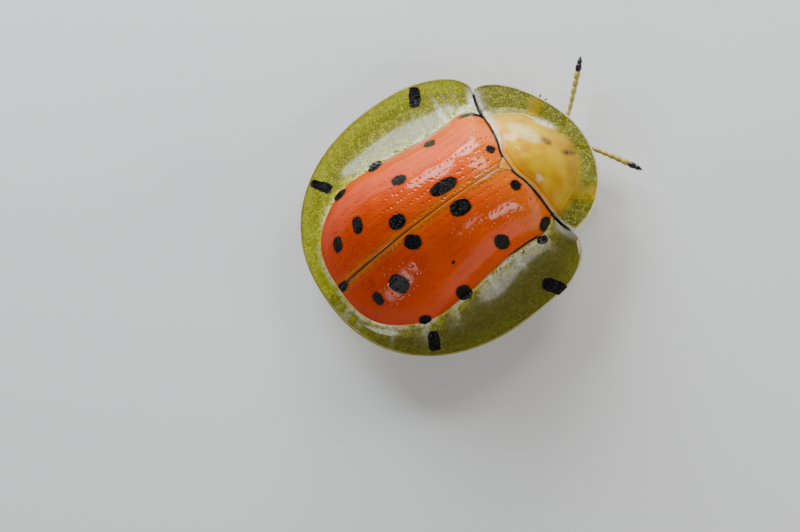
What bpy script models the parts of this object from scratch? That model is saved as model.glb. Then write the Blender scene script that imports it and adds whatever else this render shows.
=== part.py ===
"""A tortoise beetle, a still model at life size, standing on the floor.

The head faces -Y, the beetle's left side is +X, and the soles of its feet are at z = 0.
Sizes are in millimetres, and MM turns them into metres as each mesh is made.
"""
import math

import bpy
import numpy as np

MM = 0.001

# Gaps and walls
GAP = 0.3
SHELL_THICKNESS = 0.5
CORE_CLEARANCE = 0.84

# The joint line between pronotum and wing cases, as places (x, y) on one side
JOINT_LINE = [(0.0, -0.76), (0.55, -0.78), (1.1, -0.97), (1.85, -1.11), (2.76, -1.19), (3.45, -1.31),
              (4.1, -1.56), (4.5, -1.78)]

# Wing cases: the domed disc
DISC_TIP_Y = 8.97
DISC_CROWN_Y = 2.07
DISC_SIDE_POWER = 2.8
DISC_TAIL_POWER = 4.0
DISC_WIDTHS = [(-1.2, 2.75), (-0.95, 3.08), (-0.45, 3.36), (0.5, 3.37), (1.5, 3.37), (2.8, 3.5),
               (4.4, 3.7), (6.2, 3.87), (7.8, 3.68), (9.0, 3.6)]
EDGE_HEIGHTS = [(-1.2, 2.65), (1.5, 3.0), (4.4, 2.95), (6.9, 2.75), (8.97, 2.5), (9.2, 2.5)]
CREST_RISES = [(-1.2, 2.0), (0.0, 2.6), (2.07, 3.1), (4.6, 2.85), (6.9, 2.3), (8.0, 2.1), (9.0, 2.0)]
SHOULDER_DROP = 0.9
SHOULDER_X = 3.0
SHOULDER_REACH = 0.45

# Wing cases: the flat margin round the disc
RIM_HALF_WIDTH = 6.22
RIM_MIDDLE_Y = 2.62
RIM_FRONT_REACH = 5.8
RIM_TAIL_REACH = 7.13
RIM_POWER = 2.25
RIM_START_Y = -1.45
CORNER_ROUNDING = 0.36
CORNER_REACH = 0.2
RIM_HEIGHTS = [(-1.7, 2.25), (2.62, 2.15), (7.0, 2.1), (9.8, 2.05)]
MARGIN_SAG = 0.08

# Pronotum: a shield with a raised middle
SHIELD_HALF_WIDTH = 4.1
SHIELD_CORNER_Y = -1.71
SHIELD_REACH = 2.84
SHIELD_POWER = 1.8
SHIELD_RIM_HEIGHT = 2.3
SHIELD_CORNER_LIFT = 0.15
SHIELD_INNER_LIFT = 0.2
BASE_EASING = 0.8
HILL_Y = -0.8
HILL_HALF_WIDTH = 3.0
HILL_REACH = 3.0
HILL_RISE = 2.15
HILL_POWER = 1.15

# Scutellum
SCUTELLUM_HALF_WIDTH = 0.42
SCUTELLUM_LENGTH = 0.6

# Body under the wing cases
BELLY_HEIGHT = 1.9
BELLY_SPREAD = 0.82
SIDE_HEIGHT = 2.4
THORAX_START_Y = -0.62
THORAX_END_Y = 3.2
TAIL_ROUND_Y = 6.3
TAIL_ROUND_REACH = 2.05
STERNITE_EDGES = [3.5, 5.0, 5.85, 6.6, 7.25, 8.05]
STERNITE_STEP = 0.09
PROTHORAX_START_Y = -2.4
PROTHORAX_END_Y = -0.92
PROTHORAX_HALF_WIDTH = 1.5
PROTHORAX_ROOF_GAP = 0.62

# Head, eyes and mouth
HEAD_BACK_Y = -2.7
HEAD_FRONT_Y = -3.5
HEAD_HEIGHT = 1.45
HEAD_X = -0.2
HEAD_TURN = 8.0
EYE_CENTRE = (0.87, -3.1, 1.43)
EYE_HALF_SIZES = (0.19, 0.34, 0.36)
MOUTH_TOP = 0.62

# Rings of the head from back to front: share of its length, half width, half height, drop
HEAD_RINGS = [(0.0, 0.4, 0.38, 0.0), (0.16, 0.4, 0.45, 0.0), (0.4, 0.38, 0.48, 0.04),
              (0.62, 0.42, 0.46, 0.08), (0.84, 0.5, 0.37, 0.16), (1.0, 0.38, 0.22, 0.22)]

# Feelers
FEELER_SEGMENTS = 11
FEELER_RADIUS = 0.25
FEELER_CLUB_RADIUS = 0.27
FEELER_TIP_RADIUS = 0.05

# The feelers' routes from the head to the tip
FEELER_LEFT = [(0.32, -3.86, 0.98), (0.45, -4.5, 1.0), (1.2, -5.5, 1.15), (2.42, -6.7, 1.35)]
FEELER_RIGHT = [(-0.54, -3.9, 0.98), (-1.1, -4.42, 1.0), (-2.25, -5.15, 1.15), (-3.6, -5.88, 1.35)]

# Legs
COXA_RADIUS = 0.42
FEMUR_RADIUS = 0.3
TIBIA_RADIUS = 0.26
KNEE_HEIGHT = 1.35
ANKLE_HEIGHT = 0.42
COXA_HEIGHT = 1.2
PAD_HEIGHT = 0.46
PAD_WIDTH = 0.58
CLAW_LENGTH = 0.34

# The three pads of a foot: share of the foot's length, the pad's own length and width
FOOT_PADS = [(0.08, 0.54, 0.5), (0.42, 0.49, 0.54), (0.78, 0.61, PAD_WIDTH)]

# Rings of a pad from its sole up: scale of its outline, share of its height
PAD_RINGS = [(0.82, 0.0), (1.0, 0.3), (0.92, 0.72), (0.55, 1.0)]

# Plan places of each leg on the left side: coxa, knee, ankle, end of the foot
FRONT_LEG_LEFT = [(0.6, -1.75), (2.0, -1.62), (1.8, -3.0), (2.1, -3.88)]
FRONT_LEG_RIGHT = [(0.6, -1.75), (2.0, -1.5), (2.42, -2.5), (3.0, -3.1)]
MIDDLE_LEG = [(0.85, 0.9), (2.45, 0.25), (2.72, 1.7), (3.1, 2.5)]
HIND_LEG = [(0.95, 2.45), (2.3, 3.75), (2.5, 5.3), (2.8, 6.15)]

# Colours in linear light, with each finish's roughness
FINISHES = {
    "wing_case": ((0.80, 0.12, 0.01), 0.25),
    "pronotum": ((0.72, 0.42, 0.04), 0.25),
    "scutellum": ((0.70, 0.26, 0.02), 0.3),
    "body": ((0.62, 0.40, 0.10), 0.45),
    "head": ((0.72, 0.46, 0.10), 0.4),
    "eye": ((0.02, 0.015, 0.012), 0.2),
    "mouth": ((0.25, 0.11, 0.03), 0.4),
    "feeler": ((0.72, 0.50, 0.12), 0.45),
    "leg": ((0.70, 0.45, 0.09), 0.4),
}


def smooth(stations, at):
    """The cubic curve through (place, value) stations; each slope comes from the neighbours."""
    place, value = np.array(stations, dtype=float).T
    slope = np.gradient(value, place)
    at = np.clip(at, place[0], place[-1])
    left = np.clip(np.searchsorted(place, at, side="right") - 1, 0, len(place) - 2)
    step = place[left + 1] - place[left]
    t = (at - place[left]) / step
    return ((1 + 2 * t) * (1 - t) ** 2 * value[left] + t * (1 - t) ** 2 * step * slope[left]
            + t * t * (3 - 2 * t) * value[left + 1] - t * t * (1 - t) * step * slope[left + 1])


def spread_along(points, fractions):
    """Points at the given fractions of the length of a line of points."""
    points = np.array(points, dtype=float)
    steps = np.linalg.norm(np.diff(points, axis=0), axis=1)
    length = np.concatenate(([0.0], np.cumsum(steps)))
    wanted = np.asarray(fractions) * length[-1]
    return np.stack([np.interp(wanted, length, axis) for axis in points.T], axis=1)


def patch(first_side, last_side, front, back, across, down):
    """A grid between four border lines: each pair is blended, less the blend of the corners."""
    u = across[None, :, None]
    t = down[:, None, None]
    sides = (1 - u) * first_side[:, None] + u * last_side[:, None]
    ends = (1 - t) * front[None] + t * back[None]
    corners = ((1 - t) * ((1 - u) * front[0] + u * front[-1]) + t * ((1 - u) * back[0] + u * back[-1]))
    return sides + ends - corners


def grid_triangles(rows, columns):
    """The two triangles of each cell of a grid, all split along the same diagonal."""
    index = np.arange(rows * columns).reshape(rows, columns)
    a, b = index[:-1, :-1].ravel(), index[:-1, 1:].ravel()
    c, d = index[1:, 1:].ravel(), index[1:, :-1].ravel()
    return np.concatenate([np.stack([a, b, c], axis=1), np.stack([a, c, d], axis=1)])


def weld(points, triangles):
    """One vertex for all that share a place, without the triangles that this leaves empty."""
    keys = np.round(points / 1e-4).astype(np.int64)
    first, where = np.unique(keys, axis=0, return_index=True, return_inverse=True)[1:]
    triangles = where.ravel()[triangles]
    a, b, c = triangles.T
    return points[first], triangles[(a != b) & (b != c) & (c != a)]


def vertex_normals(points, triangles):
    """The mean of the normals of the triangles round each vertex, by area."""
    a, b, c = points[triangles].transpose(1, 0, 2)
    faces = np.cross(b - a, c - a)
    normals = np.zeros_like(points)
    for corner in triangles.T:
        np.add.at(normals, corner, faces)
    return normals / np.linalg.norm(normals, axis=1, keepdims=True)


def thicken(points, triangles, depth, straighten):
    """A closed shell: the sheet, a copy of it lower down, split alike, and a wall round the border.

    straighten takes the points and normals, and returns the directions in which they sink.
    """
    normals = straighten(points, vertex_normals(points, triangles))
    lower = points - depth * normals
    count = len(points)
    edges = np.concatenate([triangles[:, [0, 1]], triangles[:, [1, 2]], triangles[:, [2, 0]]])
    known = {(a, b) for a, b in edges.tolist()}
    border = np.array([(a, b) for a, b in edges.tolist() if (b, a) not in known])
    a, b = border.T
    walls = np.concatenate([np.stack([a, a + count, b + count], axis=1), np.stack([a, b + count, b], axis=1)])
    return np.concatenate([points, lower]), np.concatenate([triangles, triangles[:, ::-1] + count, walls])


def loft(rings):
    """A closed body through rings of points, with a point in the middle of each end."""
    rings = np.array(rings, dtype=float)
    count, sides = rings.shape[:2]
    index = np.arange(count * sides).reshape(count, sides)
    a, b = index[:-1], np.roll(index[:-1], -1, axis=1)
    c, d = np.roll(index[1:], -1, axis=1), index[1:]
    walls = [np.stack([a, b, c], axis=-1).reshape(-1, 3), np.stack([a, c, d], axis=-1).reshape(-1, 3)]
    start, end = count * sides, count * sides + 1
    first, last = index[0], index[-1]
    caps = [np.stack([np.full(sides, start), np.roll(first, -1), first], axis=1),
            np.stack([np.full(sides, end), last, np.roll(last, -1)], axis=1)]
    points = np.concatenate([rings.reshape(-1, 3), rings[:1].mean(axis=1), rings[-1:].mean(axis=1)])
    return points, np.concatenate(walls + caps)


def tube(path, widths, heights, sides):
    """An elliptic tube along a path; widths and heights are half sizes at each point of it."""
    path = np.array(path, dtype=float)
    along = np.gradient(path, axis=0)
    along /= np.linalg.norm(along, axis=1, keepdims=True)
    across = np.cross(np.array([0.0, 0.0, 1.0]), along)
    across /= np.linalg.norm(across, axis=1, keepdims=True)
    upward = np.cross(along, across)
    turn = np.arange(sides) * 2 * math.pi / sides
    rings = (path[:, None] + np.cos(turn)[None, :, None] * across[:, None] * np.reshape(widths, (-1, 1, 1))
             + np.sin(turn)[None, :, None] * upward[:, None] * np.reshape(heights, (-1, 1, 1)))
    return loft(rings)


def mirrored(body):
    """The same body on the beetle's other side."""
    points, triangles = body
    return points * np.array([-1.0, 1.0, 1.0]), triangles[:, ::-1]


def posed_head(body):
    """A body of the head, turned to the left about the back of the head and moved a little aside."""
    points, triangles = body
    turn = math.radians(HEAD_TURN)
    pivot = np.array([0.0, HEAD_BACK_Y, 0.0])
    rotation = np.array([[math.cos(turn), -math.sin(turn), 0.0],
                         [math.sin(turn), math.cos(turn), 0.0],
                         [0.0, 0.0, 1.0]])
    return (points - pivot) @ rotation.T + pivot + np.array([HEAD_X, 0.0, 0.0]), triangles


def finish_material(finish):
    """The material of a finish, made when it is first asked for."""
    material = bpy.data.materials.get(finish)
    if material is None:
        colour, roughness = FINISHES[finish]
        material = bpy.data.materials.new(finish)
        material.use_nodes = True
        shader = material.node_tree.nodes["Principled BSDF"]
        shader.inputs["Base Color"].default_value = (*colour, 1.0)
        shader.inputs["Roughness"].default_value = roughness
        shader.inputs["Metallic"].default_value = 0.0
    return material


def add_object(name, body, finish):
    """A mesh object in metres, smooth but for its sharp edges."""
    points, triangles = body
    mesh = bpy.data.meshes.new(name)
    mesh.from_pydata((points * MM).tolist(), [], triangles.tolist())
    mesh.materials.append(finish_material(finish))
    thing = bpy.data.objects.new(name, mesh)
    bpy.context.scene.collection.objects.link(thing)
    mesh.shade_smooth()
    mesh.set_sharp_from_angle(angle=math.radians(50))
    return thing


def keep_largest_surface(mesh):
    """Delete every loose surface of a mesh but the one with the most faces."""
    links = {index: set() for index in range(len(mesh.vertices))}
    for edge in mesh.edges:
        a, b = edge.vertices
        links[a].add(b)
        links[b].add(a)
    groups = []
    unseen = set(links)
    while unseen:
        group = {unseen.pop()}
        front = set(group)
        while front:
            front = set().union(*(links[index] for index in front)) - group
            group |= front
        unseen -= group
        groups.append(group)
    kept = sorted(max(groups, key=len))
    number = {old: new for new, old in enumerate(kept)}
    points = [tuple(mesh.vertices[index].co) for index in kept]
    faces = [[number[index] for index in face.vertices]
             for face in mesh.polygons if face.vertices[0] in number]
    return points, faces


def fuse(name, bodies, finish):
    """One node from several closed bodies, joined by a Boolean union on a collection."""
    base = add_object(name, bodies[0], finish)
    group = bpy.data.collections.new(name + " pieces")
    for number, body in enumerate(bodies[1:]):
        piece = add_object(name + " piece " + str(number), body, finish)
        bpy.context.scene.collection.objects.unlink(piece)
        group.objects.link(piece)
    union = base.modifiers.new("union", "BOOLEAN")
    union.operation = "UNION"
    union.operand_type = "COLLECTION"
    union.collection = group
    union.solver = "EXACT"
    bpy.context.scene.collection.children.link(group)
    bpy.context.view_layer.update()
    evaluated = base.evaluated_get(bpy.context.evaluated_depsgraph_get())
    points, faces = keep_largest_surface(evaluated.to_mesh())
    evaluated.to_mesh_clear()
    base.modifiers.clear()
    for piece in list(group.objects):
        bpy.data.objects.remove(piece)
    bpy.data.collections.remove(group)
    joined = bpy.data.meshes.new(name + " joined")
    joined.from_pydata(points, [], faces)
    joined.materials.append(finish_material(finish))
    joined.shade_smooth()
    joined.set_sharp_from_angle(angle=math.radians(50))
    base.data = joined
    return base


def disc_fullness(y):
    """How far the tail's curve has used up the disc at y: 0 at the crown, 1 at the disc's tip."""
    reach = np.clip((y - DISC_CROWN_Y) / (DISC_TIP_Y - DISC_CROWN_Y), 0.0, 1.0)
    return reach ** DISC_TAIL_POWER


def disc_half_width(y):
    """The half width of the disc: its width curve times a superellipse's rounding at the tail."""
    return smooth(DISC_WIDTHS, y) * (1 - disc_fullness(y)) ** (1 / DISC_SIDE_POWER)


def disc_height(x, y):
    """The dome: edge height plus the crest's rise, times one less the powers of x and of the tail's reach.

    Near the joint line the shoulders roll down by a decay with the distance from that line, less so
    towards the disc's edge.
    """
    side = (np.abs(x) / smooth(DISC_WIDTHS, y)) ** DISC_SIDE_POWER
    dome = smooth(EDGE_HEIGHTS, y) + smooth(CREST_RISES, y) * np.maximum(1 - side - disc_fullness(y), 0.0)
    behind_joint = np.maximum(y - smooth(JOINT_LINE, np.abs(x)), 0.0)
    decay = np.exp(-behind_joint / SHOULDER_REACH)
    rolled = SHOULDER_DROP * np.minimum(np.abs(x) / SHOULDER_X, 1.0) ** 2 * decay
    return dome - rolled * np.maximum(1 - side, 0.0)


def rim_line(count):
    """The outer rim in plan, from the front corner to the tail: two quarter superellipses."""
    turn = np.linspace(math.asin((RIM_START_Y - RIM_MIDDLE_Y) / RIM_FRONT_REACH), math.pi / 2, count)
    reach = np.where(turn < 0, RIM_FRONT_REACH, RIM_TAIL_REACH)
    y = RIM_MIDDLE_Y + reach * np.sin(turn)
    x = RIM_HALF_WIDTH * np.maximum(1 - np.abs(np.sin(turn)) ** RIM_POWER, 0.0) ** (1 / RIM_POWER)
    x -= CORNER_ROUNDING * np.exp(-(y - RIM_START_Y) / CORNER_REACH)
    return np.stack([np.maximum(x, GAP / 2), y], axis=1)


def scutellum_side(y):
    """The wing case's inner edge beside the scutellum, one gap away from that triangle's side."""
    lean = SCUTELLUM_HALF_WIDTH / SCUTELLUM_LENGTH
    apex_y = JOINT_LINE[0][1] + GAP / 2 + SCUTELLUM_LENGTH
    return lean * (apex_y - y) + GAP * math.hypot(1.0, lean)


def wing_case():
    """The left wing case: the disc and its margin as one sheet, thickened downwards."""
    rows, disc_columns, notch_columns, margin_columns = 28, 11, 3, 5
    down = np.linspace(0.0, 1.0, rows)
    inner = GAP / 2
    joint_y = JOINT_LINE[0][1] + GAP / 2
    lean = SCUTELLUM_HALF_WIDTH / SCUTELLUM_LENGTH
    notch_end = joint_y + SCUTELLUM_LENGTH + (GAP * math.hypot(1.0, lean) - inner) / lean
    notch_corner = np.array([scutellum_side(joint_y), joint_y])

    edge_y = np.linspace(0.0, 1.0, 400)
    edge_start = smooth(JOINT_LINE, 2.9) + GAP / 2
    edge_y = edge_start + (DISC_TIP_Y - edge_start) * np.sin(edge_y * math.pi / 2)
    edge = np.stack([np.maximum(disc_half_width(edge_y), inner), edge_y], axis=1)
    edge = spread_along(edge, down)
    rim = spread_along(rim_line(400), down)
    suture = np.stack([np.full(rows, inner), notch_end + (edge[-1, 1] - notch_end) * down], axis=1)

    share = notch_corner[0] / edge[0, 0]
    beside_notch = np.linspace(share, 1.0, disc_columns)[1:]
    across = np.concatenate([np.linspace(0.0, share, notch_columns), beside_notch])
    notch = np.linspace(suture[0], notch_corner, notch_columns)
    front_x = np.linspace(notch_corner[0], edge[0, 0], disc_columns)[1:]
    front = np.concatenate([notch, np.stack([front_x, smooth(JOINT_LINE, front_x) + GAP / 2], axis=1)])
    tip = np.repeat(edge[-1:], len(across), axis=0)
    disc = patch(suture, edge, front, tip, across, down)
    disc_z = disc_height(disc[..., 0], disc[..., 1])

    outward = np.linspace(0.0, 1.0, margin_columns + 1)
    margin_x = edge[0, 0] + (rim[0, 0] - edge[0, 0]) * outward
    margin_front = np.stack([margin_x, smooth(JOINT_LINE, margin_x) + GAP / 2], axis=1)
    margin_front[-1] = rim[0]
    margin_back = np.linspace(edge[-1], rim[-1], margin_columns + 1)
    margin = patch(edge, rim, margin_front, margin_back, outward, down)
    edge_z, rim_z = disc_z[:, -1:], smooth(RIM_HEIGHTS, rim[:, 1])[:, None]
    margin_z = edge_z + (rim_z - edge_z) * outward - MARGIN_SAG * 4 * outward * (1 - outward)

    plan = np.concatenate([disc, margin[:, 1:]], axis=1)
    height = np.concatenate([disc_z, margin_z[:, 1:]], axis=1)
    points = np.concatenate([plan, height[..., None]], axis=2)
    sheet = weld(points.reshape(-1, 3), grid_triangles(*height.shape))

    def straighten(places, normals):
        directions = normals.copy()
        directions[places[:, 0] < inner + 1e-3, 0] = 0.0
        at_front = places[:, 1] < np.maximum(smooth(JOINT_LINE, places[:, 0]), RIM_START_Y) + GAP / 2 + 1e-3
        beside_scutellum = (places[:, 1] < notch_end + 1e-3) & (places[:, 0] < notch_corner[0] + 1e-3)
        directions[at_front | beside_scutellum] = (0.0, 0.0, 1.0)
        return directions / np.linalg.norm(directions, axis=1, keepdims=True)

    return thicken(*sheet, SHELL_THICKNESS, straighten)


def shield_height(x, y):
    """The pronotum's height: its rim, a slow rise inwards and a hill whose edge is an ellipse."""
    ahead = np.maximum(SHIELD_CORNER_Y - y, 0.0) / SHIELD_REACH
    aside = np.abs(x) / SHIELD_HALF_WIDTH
    outer = np.clip(aside ** SHIELD_POWER + ahead ** SHIELD_POWER, 0.0, 1.0)
    rim = SHIELD_RIM_HEIGHT + SHIELD_CORNER_LIFT * aside + SHIELD_INNER_LIFT * (1 - outer)
    hill = 1 - (x / HILL_HALF_WIDTH) ** 2 - ((y - HILL_Y) / HILL_REACH) ** 2
    return rim + HILL_RISE * np.maximum(hill, 0.0) ** HILL_POWER


def pronotum():
    """The shield: rings that grow from the middle of its base to its outline, half a superellipse."""
    spokes, rings = 37, 10
    turn = np.linspace(0.0, math.pi, spokes)
    out_x = SHIELD_HALF_WIDTH * np.sign(np.cos(turn)) * np.abs(np.cos(turn)) ** (2 / SHIELD_POWER)
    out_y = SHIELD_CORNER_Y - SHIELD_REACH * np.abs(np.sin(turn)) ** (2 / SHIELD_POWER)
    depth = smooth(JOINT_LINE, np.abs(out_x)) - GAP / 2 - out_y
    depth[[0, -1]] = 0.0
    grow = np.linspace(0.0, 1.0, rings)[:, None]
    x = grow * out_x
    y = smooth(JOINT_LINE, np.abs(x)) - GAP / 2 - grow * depth
    points = np.stack([x, y, shield_height(x, y)], axis=2)
    sheet = weld(points.reshape(-1, 3), grid_triangles(rings, spokes))

    def straighten(places, normals):
        directions = normals.copy()
        ahead = smooth(JOINT_LINE, np.abs(places[:, 0])) - GAP / 2 - places[:, 1]
        directions[:, 1] *= np.clip(ahead / BASE_EASING, 0.0, 1.0)
        directions[ahead < 1e-3] = (0.0, 0.0, 1.0)
        return directions / np.linalg.norm(directions, axis=1, keepdims=True)

    return thicken(*sheet, SHELL_THICKNESS, straighten)


def scutellum():
    """The small triangle between the wing cases' bases, its top following the dome."""
    start = JOINT_LINE[0][1] + GAP / 2
    plan = np.array([(-SCUTELLUM_HALF_WIDTH, start), (SCUTELLUM_HALF_WIDTH, start),
                     (0.0, start + SCUTELLUM_LENGTH)])
    top = disc_height(plan[:, 0], plan[:, 1])
    upper = np.column_stack([plan, top])
    lower = np.column_stack([plan, top - SHELL_THICKNESS])
    return loft([lower, upper])


def dome_ring(y, belly, sides=12):
    """One ring of the body: the dome's cross section sunk along its normals, then the side and the belly."""
    u = np.cos(np.linspace(math.pi / 2, 0.22, sides))
    rounding = math.sqrt(1 - (max(y - TAIL_ROUND_Y, 0.0) / TAIL_ROUND_REACH) ** 2)
    x = u * float(disc_half_width(y)) * 0.97
    step = 1e-3
    slope_x = (disc_height(x + step, y) - disc_height(x - step, y)) / (2 * step)
    slope_y = (disc_height(x, y + step) - disc_height(x, y - step)) / (2 * step)
    slope_x[0] = 0.0
    steepness = np.hypot(1.0, slope_x)
    sunk = CORE_CLEARANCE * np.sqrt(1 + slope_x ** 2 + slope_y ** 2) / steepness ** 2
    upper_x = (x + sunk * slope_x) * rounding
    upper_z = np.maximum(disc_height(x, y) - sunk, SIDE_HEIGHT)
    upper = np.stack([upper_x, np.full_like(x, y), upper_z], axis=1)
    widest = upper[-1, 0]
    lower = [(widest, y, (SIDE_HEIGHT + belly) / 2), (widest * BELLY_SPREAD, y, belly),
             (widest * BELLY_SPREAD / 2, y, belly - 0.03), (0.0, y, belly - 0.05)]
    half = np.concatenate([upper, np.array(lower)])
    other = half[1:-1][::-1] * np.array([-1.0, 1.0, 1.0])
    return np.concatenate([half, other])


def thorax():
    """The middle body, which carries the wing cases and the middle and hind legs."""
    return loft([dome_ring(y, BELLY_HEIGHT) for y in np.linspace(THORAX_START_Y, THORAX_END_Y, 8)])


def abdomen():
    """The hind body: its belly steps down a little at the front of each of its five plates."""
    rings = []
    for first, last in zip(STERNITE_EDGES, STERNITE_EDGES[1:]):
        for share, step in ((0.0, STERNITE_STEP), (0.5, STERNITE_STEP / 2), (0.94, 0.0)):
            y = first + share * (last - first)
            rise = 0.25 * ((y - STERNITE_EDGES[0]) / (STERNITE_EDGES[-1] - STERNITE_EDGES[0])) ** 2
            rings.append(dome_ring(y, BELLY_HEIGHT + rise + step))
    return loft(rings)


def prothorax():
    """The front body under the pronotum, which carries the head and the front legs."""
    rings = []
    for y in np.linspace(PROTHORAX_START_Y, PROTHORAX_END_Y, 6):
        turn = np.arange(20) * 2 * math.pi / 20
        x = PROTHORAX_HALF_WIDTH * np.cos(turn)
        roof = shield_height(np.abs(x) + GAP, y) - SHELL_THICKNESS - PROTHORAX_ROOF_GAP
        middle = (BELLY_HEIGHT + roof) / 2
        upper = middle + (roof - middle) * np.abs(np.sin(turn)) ** 0.8
        lower = middle - (middle - BELLY_HEIGHT) * np.abs(np.sin(turn)) ** 0.7
        z = np.where(np.sin(turn) >= 0, upper, lower)
        rings.append(np.stack([x, np.full_like(x, y), z], axis=1)[::-1])
    return loft(rings)


def head():
    """The head: an egg between the eyes, wider behind them and at the front, tilted a little downwards."""
    rings = []
    for share, half_width, half_height, drop in HEAD_RINGS:
        y = HEAD_BACK_Y + share * (HEAD_FRONT_Y - HEAD_BACK_Y)
        turn = np.arange(16) * 2 * math.pi / 16
        rings.append(np.stack([half_width * np.cos(turn), np.full(16, y),
                               HEAD_HEIGHT - drop + half_height * np.sin(turn)], axis=1))
    return loft(rings)


def ellipsoid(centre, half_sizes, rows=7, sides=12):
    """An ellipsoid as a loft of circles from its bottom to its top."""
    rise = np.linspace(-0.42 * math.pi, 0.42 * math.pi, rows)
    turn = np.arange(sides) * 2 * math.pi / sides
    unit = np.stack([np.cos(rise)[:, None] * np.cos(turn), np.cos(rise)[:, None] * np.sin(turn),
                     np.repeat(np.sin(rise)[:, None], sides, axis=1)], axis=2)
    return loft(unit * np.array(half_sizes) + np.array(centre))


def mouthparts():
    """The upper lip between two short jaws, under the front of the head."""
    middle = HEAD_FRONT_Y + 0.18
    lip = ellipsoid((0.0, middle, MOUTH_TOP - 0.2), (0.3, 0.2, 0.19), 5, 10)
    jaws = [tube([(side * 0.3, middle + 0.1, MOUTH_TOP - 0.2), (side * 0.2, middle - 0.06, MOUTH_TOP - 0.34),
                  (side * 0.04, middle - 0.12, MOUTH_TOP - 0.5)], (0.16, 0.14, 0.05), (0.16, 0.14, 0.05), 8)
            for side in (-1.0, 1.0)]
    return [lip] + jaws


def feeler(route):
    """A feeler of eleven beads along a smooth route, thicker towards its club and tapered at its tip."""
    rings_each = 3
    places = np.linspace(0.0, 1.0, FEELER_SEGMENTS * rings_each + 1)
    stations = np.linspace(0.0, 1.0, len(route))
    path = np.stack([smooth(list(zip(stations, axis)), places) for axis in zip(*route)], axis=1)
    path = spread_along(path, places)
    bead = 1 - 0.12 * (1 + np.cos(2 * math.pi * places * FEELER_SEGMENTS)) / 2
    radius = FEELER_RADIUS + (FEELER_CLUB_RADIUS - FEELER_RADIUS) * places
    tip = np.clip((1 - places) * FEELER_SEGMENTS / 1.2, 0.0, 1.0) ** 0.7
    radius = np.maximum(radius * bead * tip, FEELER_TIP_RADIUS)
    return tube(path, radius, radius, 8)


def limb(start, end, start_radius, middle_radius, end_radius, bow=0.0):
    """One leg segment: a spindle between two places, with round ends and a little bow upwards."""
    start, end = np.array(start, dtype=float), np.array(end, dtype=float)
    along = (end - start) / np.linalg.norm(end - start)
    share = np.array([0.0, 0.12, 0.3, 0.5, 0.7, 0.88, 1.0])
    radius = np.interp(share, (0.0, 0.45, 1.0), (start_radius, middle_radius, end_radius))
    path = start + share[:, None] * (end - start)
    path[:, 2] += bow * np.sin(math.pi * share)
    path = np.concatenate([path[:1] - along * start_radius * 0.7, path, path[-1:] + along * end_radius * 0.7])
    radius = np.concatenate([[start_radius * 0.62], radius, [end_radius * 0.62]])
    return tube(path, radius, radius, 8)


def foot_pad(centre, heading, length, width, height):
    """One foot joint: a rounded pad with a flat sole on the floor."""
    turn = np.arange(10) * 2 * math.pi / 10
    along, across = np.array([*heading, 0.0]), np.array([-heading[1], heading[0], 0.0])
    rings = []
    for scale, level in PAD_RINGS:
        lengthways = np.cos(turn)[:, None] * along * length / 2
        sideways = np.sin(turn)[:, None] * across * width / 2
        rings.append((lengthways + sideways) * scale + np.array([centre[0], centre[1], level * height]))
    return loft(rings)


def leg(plan, side):
    """One leg from its coxa to its claws, for side +1 (left) or -1 (right)."""
    flip = np.array([side, 1.0])
    coxa, knee, ankle, end = [np.array(place) * flip for place in plan]
    heading = (end - ankle) / np.linalg.norm(end - ankle)
    aside = np.array([-heading[1], heading[0]])
    top = BELLY_HEIGHT - 0.05 - GAP

    coxa_body = ellipsoid((*coxa, COXA_HEIGHT), (COXA_RADIUS, COXA_RADIUS, COXA_RADIUS), 7, 12)
    coxa_body[0][:, 2] = np.minimum(coxa_body[0][:, 2], top)
    femur = limb((*coxa, COXA_HEIGHT - 0.05), (*knee, KNEE_HEIGHT), 0.28, FEMUR_RADIUS, 0.27, 0.04)
    tibia = limb((*knee, KNEE_HEIGHT), (*ankle, ANKLE_HEIGHT), 0.25, TIBIA_RADIUS, 0.28)
    bodies = [femur, coxa_body, tibia]

    length = np.linalg.norm(end - ankle)
    for share, size, width in FOOT_PADS:
        place = ankle + (end - ankle) * share
        bodies.append(foot_pad(place, heading, size * length, width, PAD_HEIGHT))
    for spread in (-1.0, 1.0):
        root = end - heading * 0.1 + aside * spread * 0.09
        middle = end + heading * CLAW_LENGTH * 0.6 + aside * spread * 0.17
        point = end + heading * CLAW_LENGTH + aside * spread * 0.2
        bodies.append(tube([(*root, 0.24), (*middle, 0.25), (*point, 0.08)], (0.1, 0.09, 0.03),
                           (0.1, 0.09, 0.03), 6))
    return bodies


def clear_scene():
    """Remove whatever the scene starts with."""
    for thing in list(bpy.data.objects):
        bpy.data.objects.remove(thing)


def centre_on_floor():
    """Put the origin under the middle of the whole model, on the floor."""
    things = [thing for thing in bpy.data.objects if thing.type == "MESH"]
    corners = np.concatenate([np.array([vertex.co for vertex in thing.data.vertices]) for thing in things])
    low, high = corners.min(axis=0), corners.max(axis=0)
    shift = np.array([(low[0] + high[0]) / 2, (low[1] + high[1]) / 2, 0.0])
    for thing in things:
        places = np.array([vertex.co for vertex in thing.data.vertices]) - shift
        thing.data.vertices.foreach_set("co", places.astype(np.float32).ravel())
        thing.data.update()


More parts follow.
